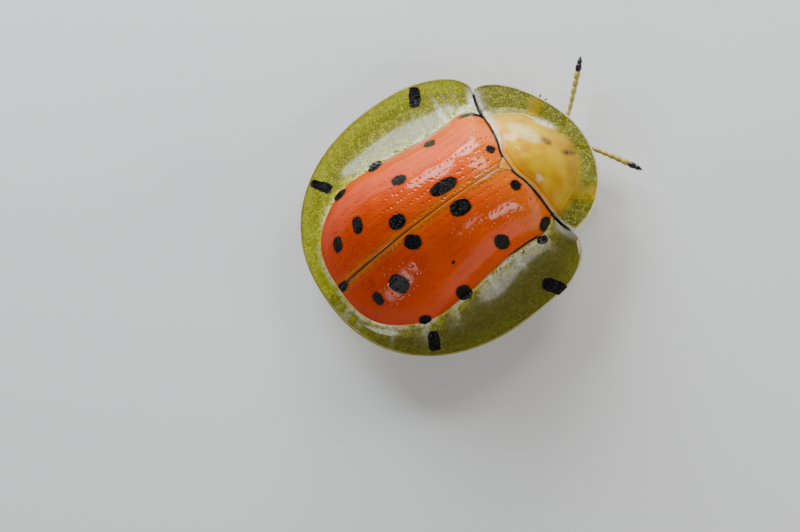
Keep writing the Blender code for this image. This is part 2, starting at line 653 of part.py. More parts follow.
def build_beetle():
    """Every node of the model."""
    clear_scene()
    left_case = wing_case()
    add_object("wing_case_left", left_case, "wing_case")
    add_object("wing_case_right", mirrored(left_case), "wing_case")
    add_object("pronotum", pronotum(), "pronotum")
    add_object("scutellum", scutellum(), "scutellum")
    add_object("prothorax", prothorax(), "body")
    add_object("thorax", thorax(), "body")
    add_object("abdomen", abdomen(), "body")
    add_object("head", posed_head(head()), "head")
    left_eye = ellipsoid(EYE_CENTRE, EYE_HALF_SIZES)
    add_object("eye_left", posed_head(left_eye), "eye")
    add_object("eye_right", posed_head(mirrored(left_eye)), "eye")
    fuse("mouthparts", [posed_head(body) for body in mouthparts()], "mouth")
    add_object("antenna_left", feeler(FEELER_LEFT), "feeler")
    add_object("antenna_right", feeler(FEELER_RIGHT), "feeler")
    for place, left_plan, right_plan in (("front", FRONT_LEG_LEFT, FRONT_LEG_RIGHT),
                                         ("middle", MIDDLE_LEG, MIDDLE_LEG), ("hind", HIND_LEG, HIND_LEG)):
        fuse("leg_" + place + "_left", leg(left_plan, 1.0), "leg")
        fuse("leg_" + place + "_right", leg(right_plan, -1.0), "leg")
    centre_on_floor()


build_beetle()
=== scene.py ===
"""A tortoise beetle at life size, as a Blender add-on that is run as a script.

Shapes are worked out in millimetres in the beetle's own frame: the head faces -Y, its left side is
+X and the floor is z = 0. The last step to a mesh takes off the frame's shift and turns them into metres.
"""
import math

import bpy
import numpy as np
from mathutils import Matrix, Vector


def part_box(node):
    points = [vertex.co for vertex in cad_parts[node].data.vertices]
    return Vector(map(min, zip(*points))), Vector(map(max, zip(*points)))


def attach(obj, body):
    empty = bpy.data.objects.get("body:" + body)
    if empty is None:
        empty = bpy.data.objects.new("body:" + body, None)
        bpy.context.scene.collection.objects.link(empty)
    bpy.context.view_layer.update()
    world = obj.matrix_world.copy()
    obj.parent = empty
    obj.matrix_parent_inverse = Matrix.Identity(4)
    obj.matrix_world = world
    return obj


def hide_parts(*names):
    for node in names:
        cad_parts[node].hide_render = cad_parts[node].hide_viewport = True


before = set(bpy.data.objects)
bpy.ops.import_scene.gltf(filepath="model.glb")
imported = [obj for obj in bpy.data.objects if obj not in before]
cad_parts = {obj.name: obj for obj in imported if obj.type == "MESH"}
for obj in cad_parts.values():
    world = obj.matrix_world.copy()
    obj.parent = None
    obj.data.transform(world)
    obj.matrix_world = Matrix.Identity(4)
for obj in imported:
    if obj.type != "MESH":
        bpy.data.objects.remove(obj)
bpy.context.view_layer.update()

bl_info = {
    "name": "Tortoise beetle",
    "version": (1, 0, 0),
    "blender": (4, 5, 0),
    "location": "3D View > Sidebar > Beetle",
    "description": "Builds a life-size tortoise beetle over its packed solids",
    "category": "Add Mesh",
}

MM = 0.001
SHARP_ANGLE = math.radians(60)
TAIL_Y = 9.75
SHIFT_Y = TAIL_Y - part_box("wing_case_left")[1].y / MM

# The joint line between shield and wing cases, as places (x, y) on one side
JOINT_LINE = [(0.0, -0.76), (0.55, -0.78), (1.1, -0.97), (1.85, -1.11), (2.76, -1.19), (3.45, -1.31),
              (4.1, -1.56), (4.5, -1.78)]

# The domed disc of the wing cases
DISC_TIP_Y = 8.97
DISC_CROWN_Y = 2.07
DISC_SIDE_POWER = 2.8
DISC_TAIL_POWER = 4.0
DISC_WIDTHS = [(-1.2, 2.75), (-0.95, 3.08), (-0.45, 3.36), (0.5, 3.37), (1.5, 3.37), (2.8, 3.5),
               (4.4, 3.7), (6.2, 3.87), (7.8, 3.68), (9.0, 3.6)]
EDGE_HEIGHTS = [(-1.2, 2.65), (1.5, 3.0), (4.4, 2.95), (6.9, 2.75), (8.97, 2.5), (9.2, 2.5)]
CREST_RISES = [(-1.2, 2.0), (0.0, 2.6), (2.07, 3.1), (4.6, 2.85), (6.9, 2.3), (8.0, 2.1), (9.0, 2.0)]
SHOULDER_DROP = 0.9
SHOULDER_X = 3.0
SHOULDER_REACH = 0.45
DISC_FRONT_X = 2.9
CALLUS_PLACE = (2.5, -0.45)
CALLUS_REACH = (0.42, 0.5)
CALLUS_RISE = 0.12

# The flared margin round the disc
RIM_HALF_WIDTH = 6.22
RIM_MIDDLE_Y = 2.62
RIM_FRONT_REACH = 5.8
RIM_TAIL_REACH = 7.13
RIM_POWER = 2.25
RIM_START_Y = -1.45
CORNER_ROUNDING = 0.36
CORNER_REACH = 0.2
RIM_HEIGHTS = [(-1.7, 2.25), (2.62, 2.15), (7.0, 2.1), (9.8, 2.05)]
MARGIN_SAG = 0.2
RIGHT_FULLNESS = 0.28
FULLNESS_Y = -0.5
FULLNESS_REACH = 1.3

# The shield with its raised middle
SHIELD_HALF_WIDTH = 4.1
SHIELD_CORNER_Y = -1.71
SHIELD_REACH = 2.84
SHIELD_POWER = 1.8
SHIELD_RIM_HEIGHT = 2.3
SHIELD_CORNER_LIFT = 0.15
SHIELD_INNER_LIFT = 0.2
SHIELD_LEAN = 0.13
HILL_Y = -0.8
HILL_HALF_WIDTH = 3.0
HILL_REACH = 3.0
HILL_RISE = 2.15
HILL_POWER = 1.15

# Smudges of eyes and feet that show through the shield, then a pale milky patch that is partly painted
# reflection and a painted sheen highlight, all as turned ellipses like the spots below
EYE_SMUDGES = [(-0.02, -2.88, 0.3, 0.17, 30), (-0.98, -3.46, 0.34, 0.15, 60)]
FOOT_SMUDGES = [(1.81, -3.47, 0.62, 0.34, -40), (-3.07, -3.18, 0.62, 0.36, 60)]
MILKY_SHEEN_PATCH = (0.86, -2.27, 0.92, 0.34, 26)
SHEEN_PATCH = (0.83, -3.31, 0.55, 0.17, 31)

# Seams between the thin shells, and the plate between their bases
SUTURE_HALF_GAP = 0.002
BASE_GAP = 0.035
PLATE_HALF_WIDTH = 0.34
PLATE_LENGTH = 0.46

# The body under the shells
BELLY_HEIGHT = 1.9
TRUNK_FRONT_Y = -0.66
TRUNK_TAIL_Y = 8.1
PLATE_EDGES = [3.5, 5.0, 5.85, 6.6, 7.25, 7.9]
PROTHORAX_SPAN = (-2.42, -0.64)
PROTHORAX_HALF_WIDTH = 1.55
PROTHORAX_FLARE = 0.35

# The head, turned to the left and moved aside as a whole
HEAD_BACK_Y = -2.7
HEAD_X = -0.2
HEAD_TURN = 8.0

# Routes of the feelers from the head to the tip
FEELER_LEFT = [(0.1, -3.45, 1.1), (0.72, -4.55, 1.1), (1.5, -5.45, 1.2), (2.62, -6.64, 1.38)]
FEELER_RIGHT = [(-0.5, -3.5, 1.1), (-0.95, -4.3, 1.05), (-2.15, -5.12, 1.15), (-3.5, -5.88, 1.35)]
FEELER_SEGMENTS = 11

# Legs in plan on the left side: hip, knee, ankle, end of the foot
FRONT_LEG_LEFT = [(0.6, -1.75), (2.0, -1.62), (1.8, -3.0), (2.1, -3.88)]
FRONT_LEG_RIGHT = [(0.6, -1.75), (2.0, -1.5), (2.42, -2.5), (3.0, -3.1)]
MIDDLE_LEG = [(0.85, 0.9), (2.45, 0.25), (2.72, 1.7), (3.1, 2.5)]
HIND_LEG = [(0.95, 2.45), (2.3, 3.75), (2.5, 5.3), (2.8, 6.15)]
HIP_HEIGHT = 1.3
KNEE_HEIGHT = 1.35
ANKLE_HEIGHT = 0.36

# Black spots as ellipses: x, y, half length, half width, turn of the long axis in degrees from +X
SPOTS_LEFT = [(2.97, 1.64, 0.28, 0.21, 73), (2.22, 3.80, 0.35, 0.24, 68), (0.97, -0.48, 0.23, 0.17, 37),
              (0.66, 2.30, 0.69, 0.32, 86), (0.63, 4.96, 0.41, 0.34, 87), (1.71, 6.56, 0.42, 0.25, -26),
              (1.63, 7.83, 0.37, 0.23, -30), (-0.02, 8.82, 0.32, 0.20, 90), (3.08, -0.98, 0.26, 0.05, 60)]
SPOTS_RIGHT = [(-1.07, -0.47, 0.24, 0.22, 2), (-0.58, 2.23, 0.50, 0.37, 82), (-0.56, 4.92, 0.41, 0.34, 48),
               (-2.77, 1.53, 0.34, 0.30, 66), (-3.12, -0.61, 0.35, 0.20, -59), (-1.66, 6.54, 0.50, 0.39, 26),
               (-1.54, 7.74, 0.33, 0.21, 7), (-2.34, 3.92, 0.07, 0.07, 0), (0.0, 8.80, 0.34, 0.22, 90),
               (-3.36, 0.75, 0.80, 0.045, 90)]
EDGE_SPOTS_LEFT = [(3.70, 4.32, 0.37, 0.20, -85), (3.56, 6.42, 0.35, 0.17, -79)]
EDGE_SPOTS_RIGHT = [(-3.62, -0.10, 0.26, 0.20, 75), (-3.59, 4.30, 0.37, 0.30, 75),
                    (-3.54, 6.51, 0.30, 0.18, 73)]
FAINT_SPOT = (0.82, 7.58, 0.22, 0.17, 0)
BARS_LEFT = [(5.42, 0.92, 0.50, 0.28, -31), (4.36, 6.80, 0.36, 0.25, 33), (4.72, 7.05, 0.28, 0.22, 33)]
BARS_RIGHT = [(-5.69, 0.68, 0.60, 0.32, 36), (-4.53, 6.75, 0.45, 0.28, -31)]

# The net in the clear sheets, in metres, and the punctures in rows on the disc
NET_CELL = 0.00012
EYE_FACET = 0.00003
PIT_ROWS = 9.5
PIT_STEP = 0.21
PIT_RADIUS = 0.08
JITTER_SIZE = 64

# Finishes: the shells' refraction, and in millimetres the soft edge of a spot and of the line at a rim
CUTICLE_IOR = 1.5
SPOT_EDGE = (-0.018, 0.018)
EDGE_LINE = (0.1, 0.06)

# The camera, from the photograph's own lines
CAMERA_HEADING = 35.1
CAMERA_TILT = 6.9
CAMERA_TARGET = (-1.104, 6.037, 5.4)
CAMERA_DISTANCE = 180.0
CAMERA_FRAME = 36.8
CAMERA_SENSOR = 36.0
CAMERA_CLIP = (0.001, 10.0)

# Elliptic lights: name, direction from the beetle, distance, width and height, power in watts, colour
LIGHTS = [("window", (0.90, -0.10, 0.42), 90.0, 60.0, 50.0, 0.100, (0.86, 0.94, 1.0)),
          ("head glow", (0.38, -0.74, 0.56), 90.0, 36.0, 20.0, 0.023, (1.0, 0.97, 0.93)),
          ("shoulder glow", (-0.78, -0.52, 0.34), 90.0, 40.0, 24.0, 0.020, (1.0, 0.97, 0.93)),
          ("front glow", (0.80, -0.56, 0.20), 80.0, 44.0, 24.0, 0.048, (1.0, 0.98, 0.95)),
          ("rear glow", (-0.42, 0.86, 0.30), 90.0, 36.0, 36.0, 0.020, (1.0, 0.98, 0.96)),
          ("fill", (-0.72, -0.14, 0.68), 100.0, 44.0, 26.0, 0.010, (0.95, 0.98, 1.0))]
LIGHT_TARGET_HEIGHT = 0.003
ROOM_COLOUR = (0.96, 0.98, 1.0, 1.0)
ROOM_STRENGTH = 0.14
FLOOR_HALF_SIZE = 2.0


# Curves and grids

def smooth(stations, at):
    """The cubic curve through (place, value) stations; each slope comes from the neighbours."""
    place, value = np.array(stations, dtype=float).T
    slope = np.gradient(value, place)
    at = np.clip(at, place[0], place[-1])
    left = np.clip(np.searchsorted(place, at, side="right") - 1, 0, len(place) - 2)
    step = place[left + 1] - place[left]
    t = (at - place[left]) / step
    return ((1 + 2 * t) * (1 - t) ** 2 * value[left] + t * (1 - t) ** 2 * step * slope[left]
            + t * t * (3 - 2 * t) * value[left + 1] - t * t * (1 - t) * step * slope[left + 1])


def ramp(low, high, value):
    """Rises smoothly from 0 at low to 1 at high: three times the share squared, less twice its cube."""
    share = np.clip((value - low) / (high - low), 0.0, 1.0)
    return share * share * (3 - 2 * share)


def bell(value, middle, width):
    """The bell curve: e to the minus square of the distance from the middle over the width."""
    return np.exp(-((value - middle) / width) ** 2)


def spread_along(points, fractions):
    """Points at the given fractions of the length of a line of points."""
    points = np.array(points, dtype=float)
    steps = np.linalg.norm(np.diff(points, axis=0), axis=1)
    length = np.concatenate(([0.0], np.cumsum(steps)))
    wanted = np.asarray(fractions) * length[-1]
    return np.stack([np.interp(wanted, length, axis) for axis in points.T], axis=1)


def curve_through(route, count):
    """Evenly spread points on the smooth curve through a route's places."""
    stations = np.linspace(0.0, 1.0, len(route))
    fine = np.linspace(0.0, 1.0, 200)
    path = np.stack([smooth(list(zip(stations, axis)), fine) for axis in zip(*route)], axis=1)
    return spread_along(path, np.linspace(0.0, 1.0, count))


def patch(first_side, last_side, front, back, across, down):
    """A grid between four border lines: each pair is blended, less the blend of the corners."""
    u = across[None, :, None]
    t = down[:, None, None]
    sides = (1 - u) * first_side[:, None] + u * last_side[:, None]
    ends = (1 - t) * front[None] + t * back[None]
    corners = ((1 - t) * ((1 - u) * front[0] + u * front[-1]) + t * ((1 - u) * back[0] + u * back[-1]))
    return sides + ends - corners


def grid_triangles(rows, columns):
    """The two triangles of each cell of a grid, all split along the same diagonal."""
    index = np.arange(rows * columns).reshape(rows, columns)
    a, b = index[:-1, :-1].ravel(), index[:-1, 1:].ravel()
    c, d = index[1:, 1:].ravel(), index[1:, :-1].ravel()
    return np.concatenate([np.stack([a, b, c], axis=1), np.stack([a, c, d], axis=1)])


def normals_of(points, triangles):
    """The mean of the normals of the triangles round each vertex, by area."""
    a, b, c = points[triangles].transpose(1, 0, 2)
    faces = np.cross(b - a, c - a)
    normals = np.zeros_like(points)
    for corner in triangles.T:
        np.add.at(normals, corner, faces)
    return normals / np.maximum(np.linalg.norm(normals, axis=1, keepdims=True), 1e-12)


def wander(x, y, seed, size):
    """A smooth irregular value from -1 to 1: the mean of six sine waves of random directions."""
    source = np.random.RandomState(seed)
    total = np.zeros(np.broadcast(x, y).shape)
    for _ in range(6):
        heading = source.uniform(0, 2 * math.pi)
        rate = 2 * math.pi / (size * source.uniform(0.7, 1.5))
        phase = source.uniform(0, 2 * math.pi)
        total += np.sin(rate * (np.cos(heading) * x + np.sin(heading) * y) + phase)
    return total / 6


class Form:
    """A surface in millimetres: its points, its triangles and the named values at its points."""

    def __init__(self, points, triangles, **values):
        self.points = np.asarray(points, dtype=float).reshape(-1, 3)
        self.triangles = np.asarray(triangles, dtype=np.int64)
        self.values = {name: np.broadcast_to(np.ravel(value).astype(float), len(self.points))
                       for name, value in values.items()}

    def welded(self):
        """One point for all that share a place, without the triangles that this leaves empty."""
        keys = np.round(self.points / 1e-5).astype(np.int64)
        first, where = np.unique(keys, axis=0, return_index=True, return_inverse=True)[1:]
        triangles = where.ravel()[self.triangles]
        a, b, c = triangles.T
        kept = triangles[(a != b) & (b != c) & (c != a)]
        return Form(self.points[first], kept, **{name: value[first] for name, value in self.values.items()})

    def mirrored(self):
        """The same surface on the beetle's other side."""
        return Form(self.points * (-1.0, 1.0, 1.0), self.triangles[:, ::-1], **self.values)

    def shell(self, thickness, bulge):
        """A closed sheet: this surface, a lower copy along the normals and a rounded wall at the border."""
        count = len(self.points)
        normals = normals_of(self.points, self.triangles)
        lower = self.points - np.reshape(thickness, (-1, 1)) * normals
        t = self.triangles
        edges = np.concatenate([t[:, [0, 1]], t[:, [1, 2]], t[:, [2, 0]]])
        forward, backward = edges[:, 0] * count + edges[:, 1], edges[:, 1] * count + edges[:, 0]
        a, b = edges[~np.isin(forward, backward)].T
        outward = np.zeros_like(self.points)
        aside = np.cross(self.points[b] - self.points[a], normals[a])
        np.add.at(outward, a, aside)
        np.add.at(outward, b, aside)
        ring = np.unique(a)
        place = np.zeros(count, dtype=np.int64)
        place[ring] = np.arange(len(ring)) + 2 * count
        outward = outward[ring] / np.maximum(np.linalg.norm(outward[ring], axis=1, keepdims=True), 1e-12)
        middle = (self.points[ring] + lower[ring]) / 2 + bulge * outward
        walls = []
        for top_a, top_b, low_a, low_b in ((a, b, place[a], place[b]),
                                           (place[a], place[b], a + count, b + count)):
            walls += [np.stack([top_a, low_a, low_b], axis=1), np.stack([top_a, low_b, top_b], axis=1)]
        values = {name: np.concatenate([value, value, value[ring]]) for name, value in self.values.items()}
        return Form(np.concatenate([self.points, lower, middle]),
                    np.concatenate([t, t[:, ::-1] + count] + walls), **values)

    def turned(self, degrees, pivot, shift):
        """The surface turned about a vertical axis and then moved."""
        turn = math.radians(degrees)
        rotation = np.array([[math.cos(turn), -math.sin(turn), 0.0],
                             [math.sin(turn), math.cos(turn), 0.0],
                             [0.0, 0.0, 1.0]])
        return Form((self.points - pivot) @ rotation.T + pivot + shift, self.triangles, **self.values)


def joined(forms):
    """Several surfaces as one; a value that one of them lacks is 0 there."""
    names = sorted({name for form in forms for name in form.values})
    starts = np.cumsum([0] + [len(form.points) for form in forms])
    values = {name: np.concatenate([form.values.get(name, np.zeros(len(form.points))) for form in forms])
              for name in names}
    return Form(np.concatenate([form.points for form in forms]),
                np.concatenate([form.triangles + start for form, start in zip(forms, starts)]), **values)


def sheet(x, y, height, thickness, bulge, **values):
    """A closed thin sheet from a grid of places and heights; its thickness is in metres."""
    form = Form(np.stack([x, y, height], axis=2), grid_triangles(*height.shape), **values)
    return form.welded().shell(thickness / MM, bulge)


def wrapped(grid, **values):
    """A closed body from a grid of rings: the columns join up, and an end that is no point gets a cap."""
    rows, columns = grid.shape[:2]
    index = np.arange(rows * columns).reshape(rows, columns)
    a, b = index[:-1].ravel(), np.roll(index[:-1], -1, axis=1).ravel()
    c, d = np.roll(index[1:], -1, axis=1).ravel(), index[1:].ravel()
    start, end = rows * columns, rows * columns + 1
    first, last = index[0], index[-1]
    triangles = np.concatenate([
        np.stack([a, b, c], axis=1), np.stack([a, c, d], axis=1),
        np.stack([np.full(columns, start), np.roll(first, -1), first], axis=1),
        np.stack([np.full(columns, end), last, np.roll(last, -1)], axis=1)])
    points = np.concatenate([grid.reshape(-1, 3), grid[:1].mean(axis=1), grid[-1:].mean(axis=1)])
    full = {}
    for name, value in values.items():
        spread = np.broadcast_to(value, (rows, columns))
        full[name] = np.concatenate([spread.ravel(), [spread[0].mean(), spread[-1].mean()]])
    return Form(points, triangles, **full).welded()


def tube(path, widths, heights, sides, **values):
    """An elliptic tube along a path: each ring is the cosine of a turn across it and the sine upwards."""
    path = np.asarray(path, dtype=float)
    along = np.gradient(path, axis=0)
    along /= np.linalg.norm(along, axis=1, keepdims=True)
    across = np.cross((0.0, 0.0, 1.0), along)
    across /= np.maximum(np.linalg.norm(across, axis=1, keepdims=True), 1e-9)
    upward = np.cross(along, across)
    turn = np.arange(sides) * 2 * math.pi / sides
    rings = (path[:, None] + np.cos(turn)[None, :, None] * across[:, None] * np.reshape(widths, (-1, 1, 1))
             + np.sin(turn)[None, :, None] * upward[:, None] * np.reshape(heights, (-1, 1, 1)))
    return wrapped(rings, **{name: np.reshape(value, (-1, 1)) for name, value in values.items()})


def ball(centre, half_sizes, rows, sides, **values):
    """An ellipsoid: circles from pole to pole, scaled to its half sizes."""
    rise = np.linspace(-math.pi / 2, math.pi / 2, rows)[:, None]
    turn = np.arange(sides)[None] * 2 * math.pi / sides
    unit = np.stack([np.cos(rise) * np.cos(turn), np.cos(rise) * np.sin(turn), np.sin(rise) + 0 * turn],
                    axis=2)
    return wrapped(unit * np.array(half_sizes) + np.array(centre), **values)


# The beetle's own curves

def disc_fullness(y):
    """How far the tail's curve has used up the disc at y: the fourth power of the reach past the crown."""
    reach = np.clip((y - DISC_CROWN_Y) / (DISC_TIP_Y - DISC_CROWN_Y), 0.0, 1.0)
    return reach ** DISC_TAIL_POWER


def disc_half_width(y):
    """The half width of the disc: its width curve times a superellipse's rounding at the tail."""
    return smooth(DISC_WIDTHS, y) * (1 - disc_fullness(y)) ** (1 / DISC_SIDE_POWER)


def disc_height(x, y):
    """The dome: edge height plus the crest's rise, times one less the powers of x and of the tail's reach.

    Near the joint line the shoulders roll down by a decay with the distance from that line.
    """
    side = (np.abs(x) / smooth(DISC_WIDTHS, y)) ** DISC_SIDE_POWER
    dome = smooth(EDGE_HEIGHTS, y) + smooth(CREST_RISES, y) * np.maximum(1 - side - disc_fullness(y), 0.0)
    behind_joint = np.maximum(y - smooth(JOINT_LINE, np.abs(x)), 0.0)
    decay = np.exp(-behind_joint / SHOULDER_REACH)
    rolled = SHOULDER_DROP * np.minimum(np.abs(x) / SHOULDER_X, 1.0) ** 2 * decay
    return dome - rolled * np.maximum(1 - side, 0.0)


def disc_edge(count):
    """The disc's edge in plan from its front corner to its tip, evenly spread."""
    start = smooth(JOINT_LINE, DISC_FRONT_X) + BASE_GAP
    y = start + (DISC_TIP_Y - start) * np.sin(np.linspace(0.0, math.pi / 2, 900))
    line = np.stack([np.maximum(disc_half_width(y), SUTURE_HALF_GAP), y], axis=1)
    return spread_along(line, np.linspace(0.0, 1.0, count))


def rim_line(count, fullness):
    """The outer rim in plan, from the front corner to the tail: two quarter superellipses.

    Fullness pushes the front of it outwards by a bell curve of y.
    """
    turn = np.linspace(math.asin((RIM_START_Y - RIM_MIDDLE_Y) / RIM_FRONT_REACH), math.pi / 2, 900)
    reach = np.where(turn < 0, RIM_FRONT_REACH, RIM_TAIL_REACH)
    y = RIM_MIDDLE_Y + reach * np.sin(turn)
    x = RIM_HALF_WIDTH * np.maximum(1 - np.abs(np.sin(turn)) ** RIM_POWER, 0.0) ** (1 / RIM_POWER)
    x -= CORNER_ROUNDING * np.exp(-(y - RIM_START_Y) / CORNER_REACH)
    x += fullness * bell(y, FULLNESS_Y, FULLNESS_REACH)
    line = np.stack([np.maximum(x, SUTURE_HALF_GAP), y], axis=1)
    return spread_along(line, np.linspace(0.0, 1.0, count))


def shield_outline(turn):
    """The shield's outline in plan: half a superellipse before its corners, sheared a little to one side."""
    x = SHIELD_HALF_WIDTH * np.sign(np.cos(turn)) * np.abs(np.cos(turn)) ** (2 / SHIELD_POWER)
    y = SHIELD_CORNER_Y - SHIELD_REACH * np.abs(np.sin(turn)) ** (2 / SHIELD_POWER)
    return x, y + SHIELD_LEAN * x * np.sin(turn)


def hill_share(x, y):
    """How far inside the shield's raised middle a place is: 1 at its top, 0 on its elliptic foot."""
    lean = SHIELD_LEAN * x * np.clip((HILL_Y - y) / HILL_REACH, 0.0, 1.0)
    return 1 - (x / HILL_HALF_WIDTH) ** 2 - ((y - lean - HILL_Y) / HILL_REACH) ** 2


def shield_height(x, y):
    """The shield's height: its rim, a slow rise inwards and a power of the hill's share."""
    ahead = np.maximum(SHIELD_CORNER_Y - y, 0.0) / SHIELD_REACH
    aside = np.abs(x) / SHIELD_HALF_WIDTH
    outer = np.clip(aside ** SHIELD_POWER + ahead ** SHIELD_POWER, 0.0, 1.0)
    rim = SHIELD_RIM_HEIGHT + SHIELD_CORNER_LIFT * aside + SHIELD_INNER_LIFT * (1 - outer)
    return rim + HILL_RISE * np.maximum(hill_share(x, y), 0.0) ** HILL_POWER


def spread_from(x, y, centre_x, centre_y, length, width, turn, power=2.0):
    """How far out in a turned superellipse a place is: 0 at its centre and 1 on its edge."""
    heading = math.radians(turn)
    dx, dy = x - centre_x, y - centre_y
    along = (dx * math.cos(heading) + dy * math.sin(heading)) / length
    aside = (-dx * math.sin(heading) + dy * math.cos(heading)) / width
    return (np.abs(along) ** power + np.abs(aside) ** power) ** (1 / power)


def spot_field(x, y, spots, seed, power=2.4):
    """Millimetres inside the nearest spot's edge: its mean half size times one less the spread from it."""
    field = np.full(np.shape(x), -9.0)
    for spot in spots:
        inside = (1 - spread_from(x, y, *spot, power)) * math.sqrt(spot[2] * spot[3])
        field = np.maximum(field, inside)
    return field + 0.035 * wander(x, y, seed, 0.3)


def mirrored_spots(spots):
    """The same spots on the beetle's other side."""
    return [(-x, y, long, wide, -turn) for x, y, long, wide, turn in spots]


def puncture_field(x, y, seed):
    """Rows of punctures: each vertex looks up the jittered pits of its own and eight neighbouring cells.

    Gives the pits' depth share: the square of one less the squared distance over the pit's radius.
    """
    source = np.random.RandomState(seed)
    jitter_row, jitter_step, radius_share = (source.uniform(low, high, (JITTER_SIZE, JITTER_SIZE))
                                             for low, high in ((-0.16, 0.16), (-0.3, 0.3), (0.55, 1.15)))
    row_gap = smooth(DISC_WIDTHS, y) / PIT_ROWS
    row, step = x / row_gap, (y + 2.0) / PIT_STEP
    depth = np.zeros(np.shape(x))
    for offset_row in (-1, 0, 1):
        for offset_step in (-1, 0, 1):
            cell_row = np.floor(row).astype(int) + offset_row
            cell_step = np.floor(step).astype(int) + offset_step
            key = (cell_row % JITTER_SIZE, (cell_step + 7 * cell_row) % JITTER_SIZE)
            pit_row = cell_row + 0.5 + jitter_row[key]
            pit_step = cell_step + 0.5 + jitter_step[key]
            away = np.hypot((row - pit_row) * row_gap, (step - pit_step) * PIT_STEP)
            radius = PIT_RADIUS * radius_share[key]
            depth = np.maximum(depth, radius_share[key] * np.maximum(1 - (away / radius) ** 2, 0.0) ** 2)
    return depth


# The pieces

def wing_disc(shape, spots, seed, right):
    """The left disc: a grid between suture, edge, base and tip, raised to the dome and pitted.

    Right is 1 for the right disc's details: a raised border in front along the suture, with a painted
    pale highlight along it, and a faint spot at the rear. It is 0 for the left one's: a black line round
    the front corner.
    """
    rows, columns, notch_columns = 330, 121, 19
    down = np.linspace(0.0, 1.0, rows)
    joint_y = JOINT_LINE[0][1] + BASE_GAP
    corner = np.array([PLATE_HALF_WIDTH + BASE_GAP, joint_y])
    notch_end = joint_y + PLATE_LENGTH + BASE_GAP
    edge = disc_edge(rows)
    suture = np.stack([np.full(rows, SUTURE_HALF_GAP), notch_end + (edge[-1, 1] - notch_end) * down], axis=1)
    share = corner[0] / edge[0, 0]
    across = np.concatenate([np.linspace(0.0, share, notch_columns),
                             np.linspace(share, 1.0, columns - notch_columns + 1)[1:]])
    notch = np.linspace(suture[0], corner, notch_columns)
    front_x = np.linspace(corner[0], edge[0, 0], columns - notch_columns + 1)[1:]
    opening = BASE_GAP * (1 + front_x / DISC_FRONT_X)
    front = np.concatenate([notch, np.stack([front_x, smooth(JOINT_LINE, front_x) + opening], axis=1)])
    edge[0, 1] = front[-1, 1]
    tip = np.repeat(edge[-1:], columns, axis=0)
    plan = patch(suture, edge, front, tip, across, down)
    x, y = plan[..., 0], plan[..., 1]

    to_suture = x - SUTURE_HALF_GAP
    to_front = np.maximum(y - smooth(JOINT_LINE, x), 0.0)
    to_edge = np.minimum(np.hypot(*(plan - edge[:, None]).transpose(2, 0, 1)),
                         np.maximum(disc_half_width(np.minimum(y, DISC_TIP_Y)) - x, 0.0) + 0.0 * x)
    inside = ramp(0.0, 0.12, to_suture) * ramp(0.0, 0.12, to_edge) * ramp(0.02, 0.16, to_front)
    strength = (0.45 + 0.55 * np.exp(-np.maximum(y + 0.5, 0.0) / 3.5)) * (1 - 0.35 * right)
    pits = puncture_field(x, y, seed) * inside
    height = disc_height(x, y)
    height -= shape.pit_depth / MM * pits * strength
    height += 0.014 * wander(x, y, seed + 1, 0.75) * inside
    height += CALLUS_RISE * (bell(x, CALLUS_PLACE[0], CALLUS_REACH[0])
                             * bell(y, CALLUS_PLACE[1], CALLUS_REACH[1]))
    height -= 0.035 * np.exp(-to_suture / 0.035) + 0.06 * np.exp(-to_front / 0.05)
    height += 0.015 * bell(to_suture, 0.13, 0.07) * ramp(0.0, 1.0, to_front)
    height += (0.2 + 0.8 * right) * 0.03 * bell(to_suture, 0.04, 0.022) * ramp(3.2, 1.4, y)
    row_turn = 2 * math.pi * x / smooth(DISC_WIDTHS, y) * PIT_ROWS
    # Painted highlight: pale along the suture's raised border, strongest on the right disc.
    pale = (0.2 + 0.8 * right) * bell(to_suture, 0.035, 0.025) * ramp(1.4, 0.5, y)
    pale *= 0.75 + 0.5 * wander(y, 0.0, seed, 0.5)
    return sheet(x, y, height, shape.disc_thickness, 0.02,
                 spot=spot_field(x, y, spots, seed), suture=to_suture, edge=to_edge, front=to_front,
                 pit=pits * strength, pale=pale,
                 stripe=(0.5 - 0.5 * np.cos(row_turn)) * ramp(0.0, 0.4, to_edge),
                 faint=right * np.exp(-spread_from(x, y, *FAINT_SPOT) ** 4),
                 corner=(1 - right) * ramp(0.28, 0.2, to_edge) * ramp(0.0, -0.4, y))


def margin_grid(rows, columns, fullness):
    """Plan places, heights and outward shares of the left margin between the disc's edge and the rim."""
    down = np.linspace(0.0, 1.0, rows)
    outward = np.linspace(0.0, 1.0, columns)
    edge, rim = disc_edge(rows), rim_line(rows, fullness)
    front_x = edge[0, 0] + (rim[0, 0] - edge[0, 0]) * outward
    front = np.stack([front_x, smooth(JOINT_LINE, front_x) + 2 * BASE_GAP], axis=1)
    front += (rim[0] - front[-1]) * outward[:, None] ** 4
    edge[0, 1] = front[0, 1]
    back = edge[-1] + (rim[-1] - edge[-1]) * outward[:, None]
    plan = patch(edge, rim, front, back, outward, down)
    edge_z = disc_height(edge[:, 0], edge[:, 1])[:, None]
    rim_z = smooth(RIM_HEIGHTS, rim[:, 1])[:, None]
    height = edge_z + (rim_z - edge_z) * outward - MARGIN_SAG * 4 * outward * (1 - outward)
    return plan, height, outward


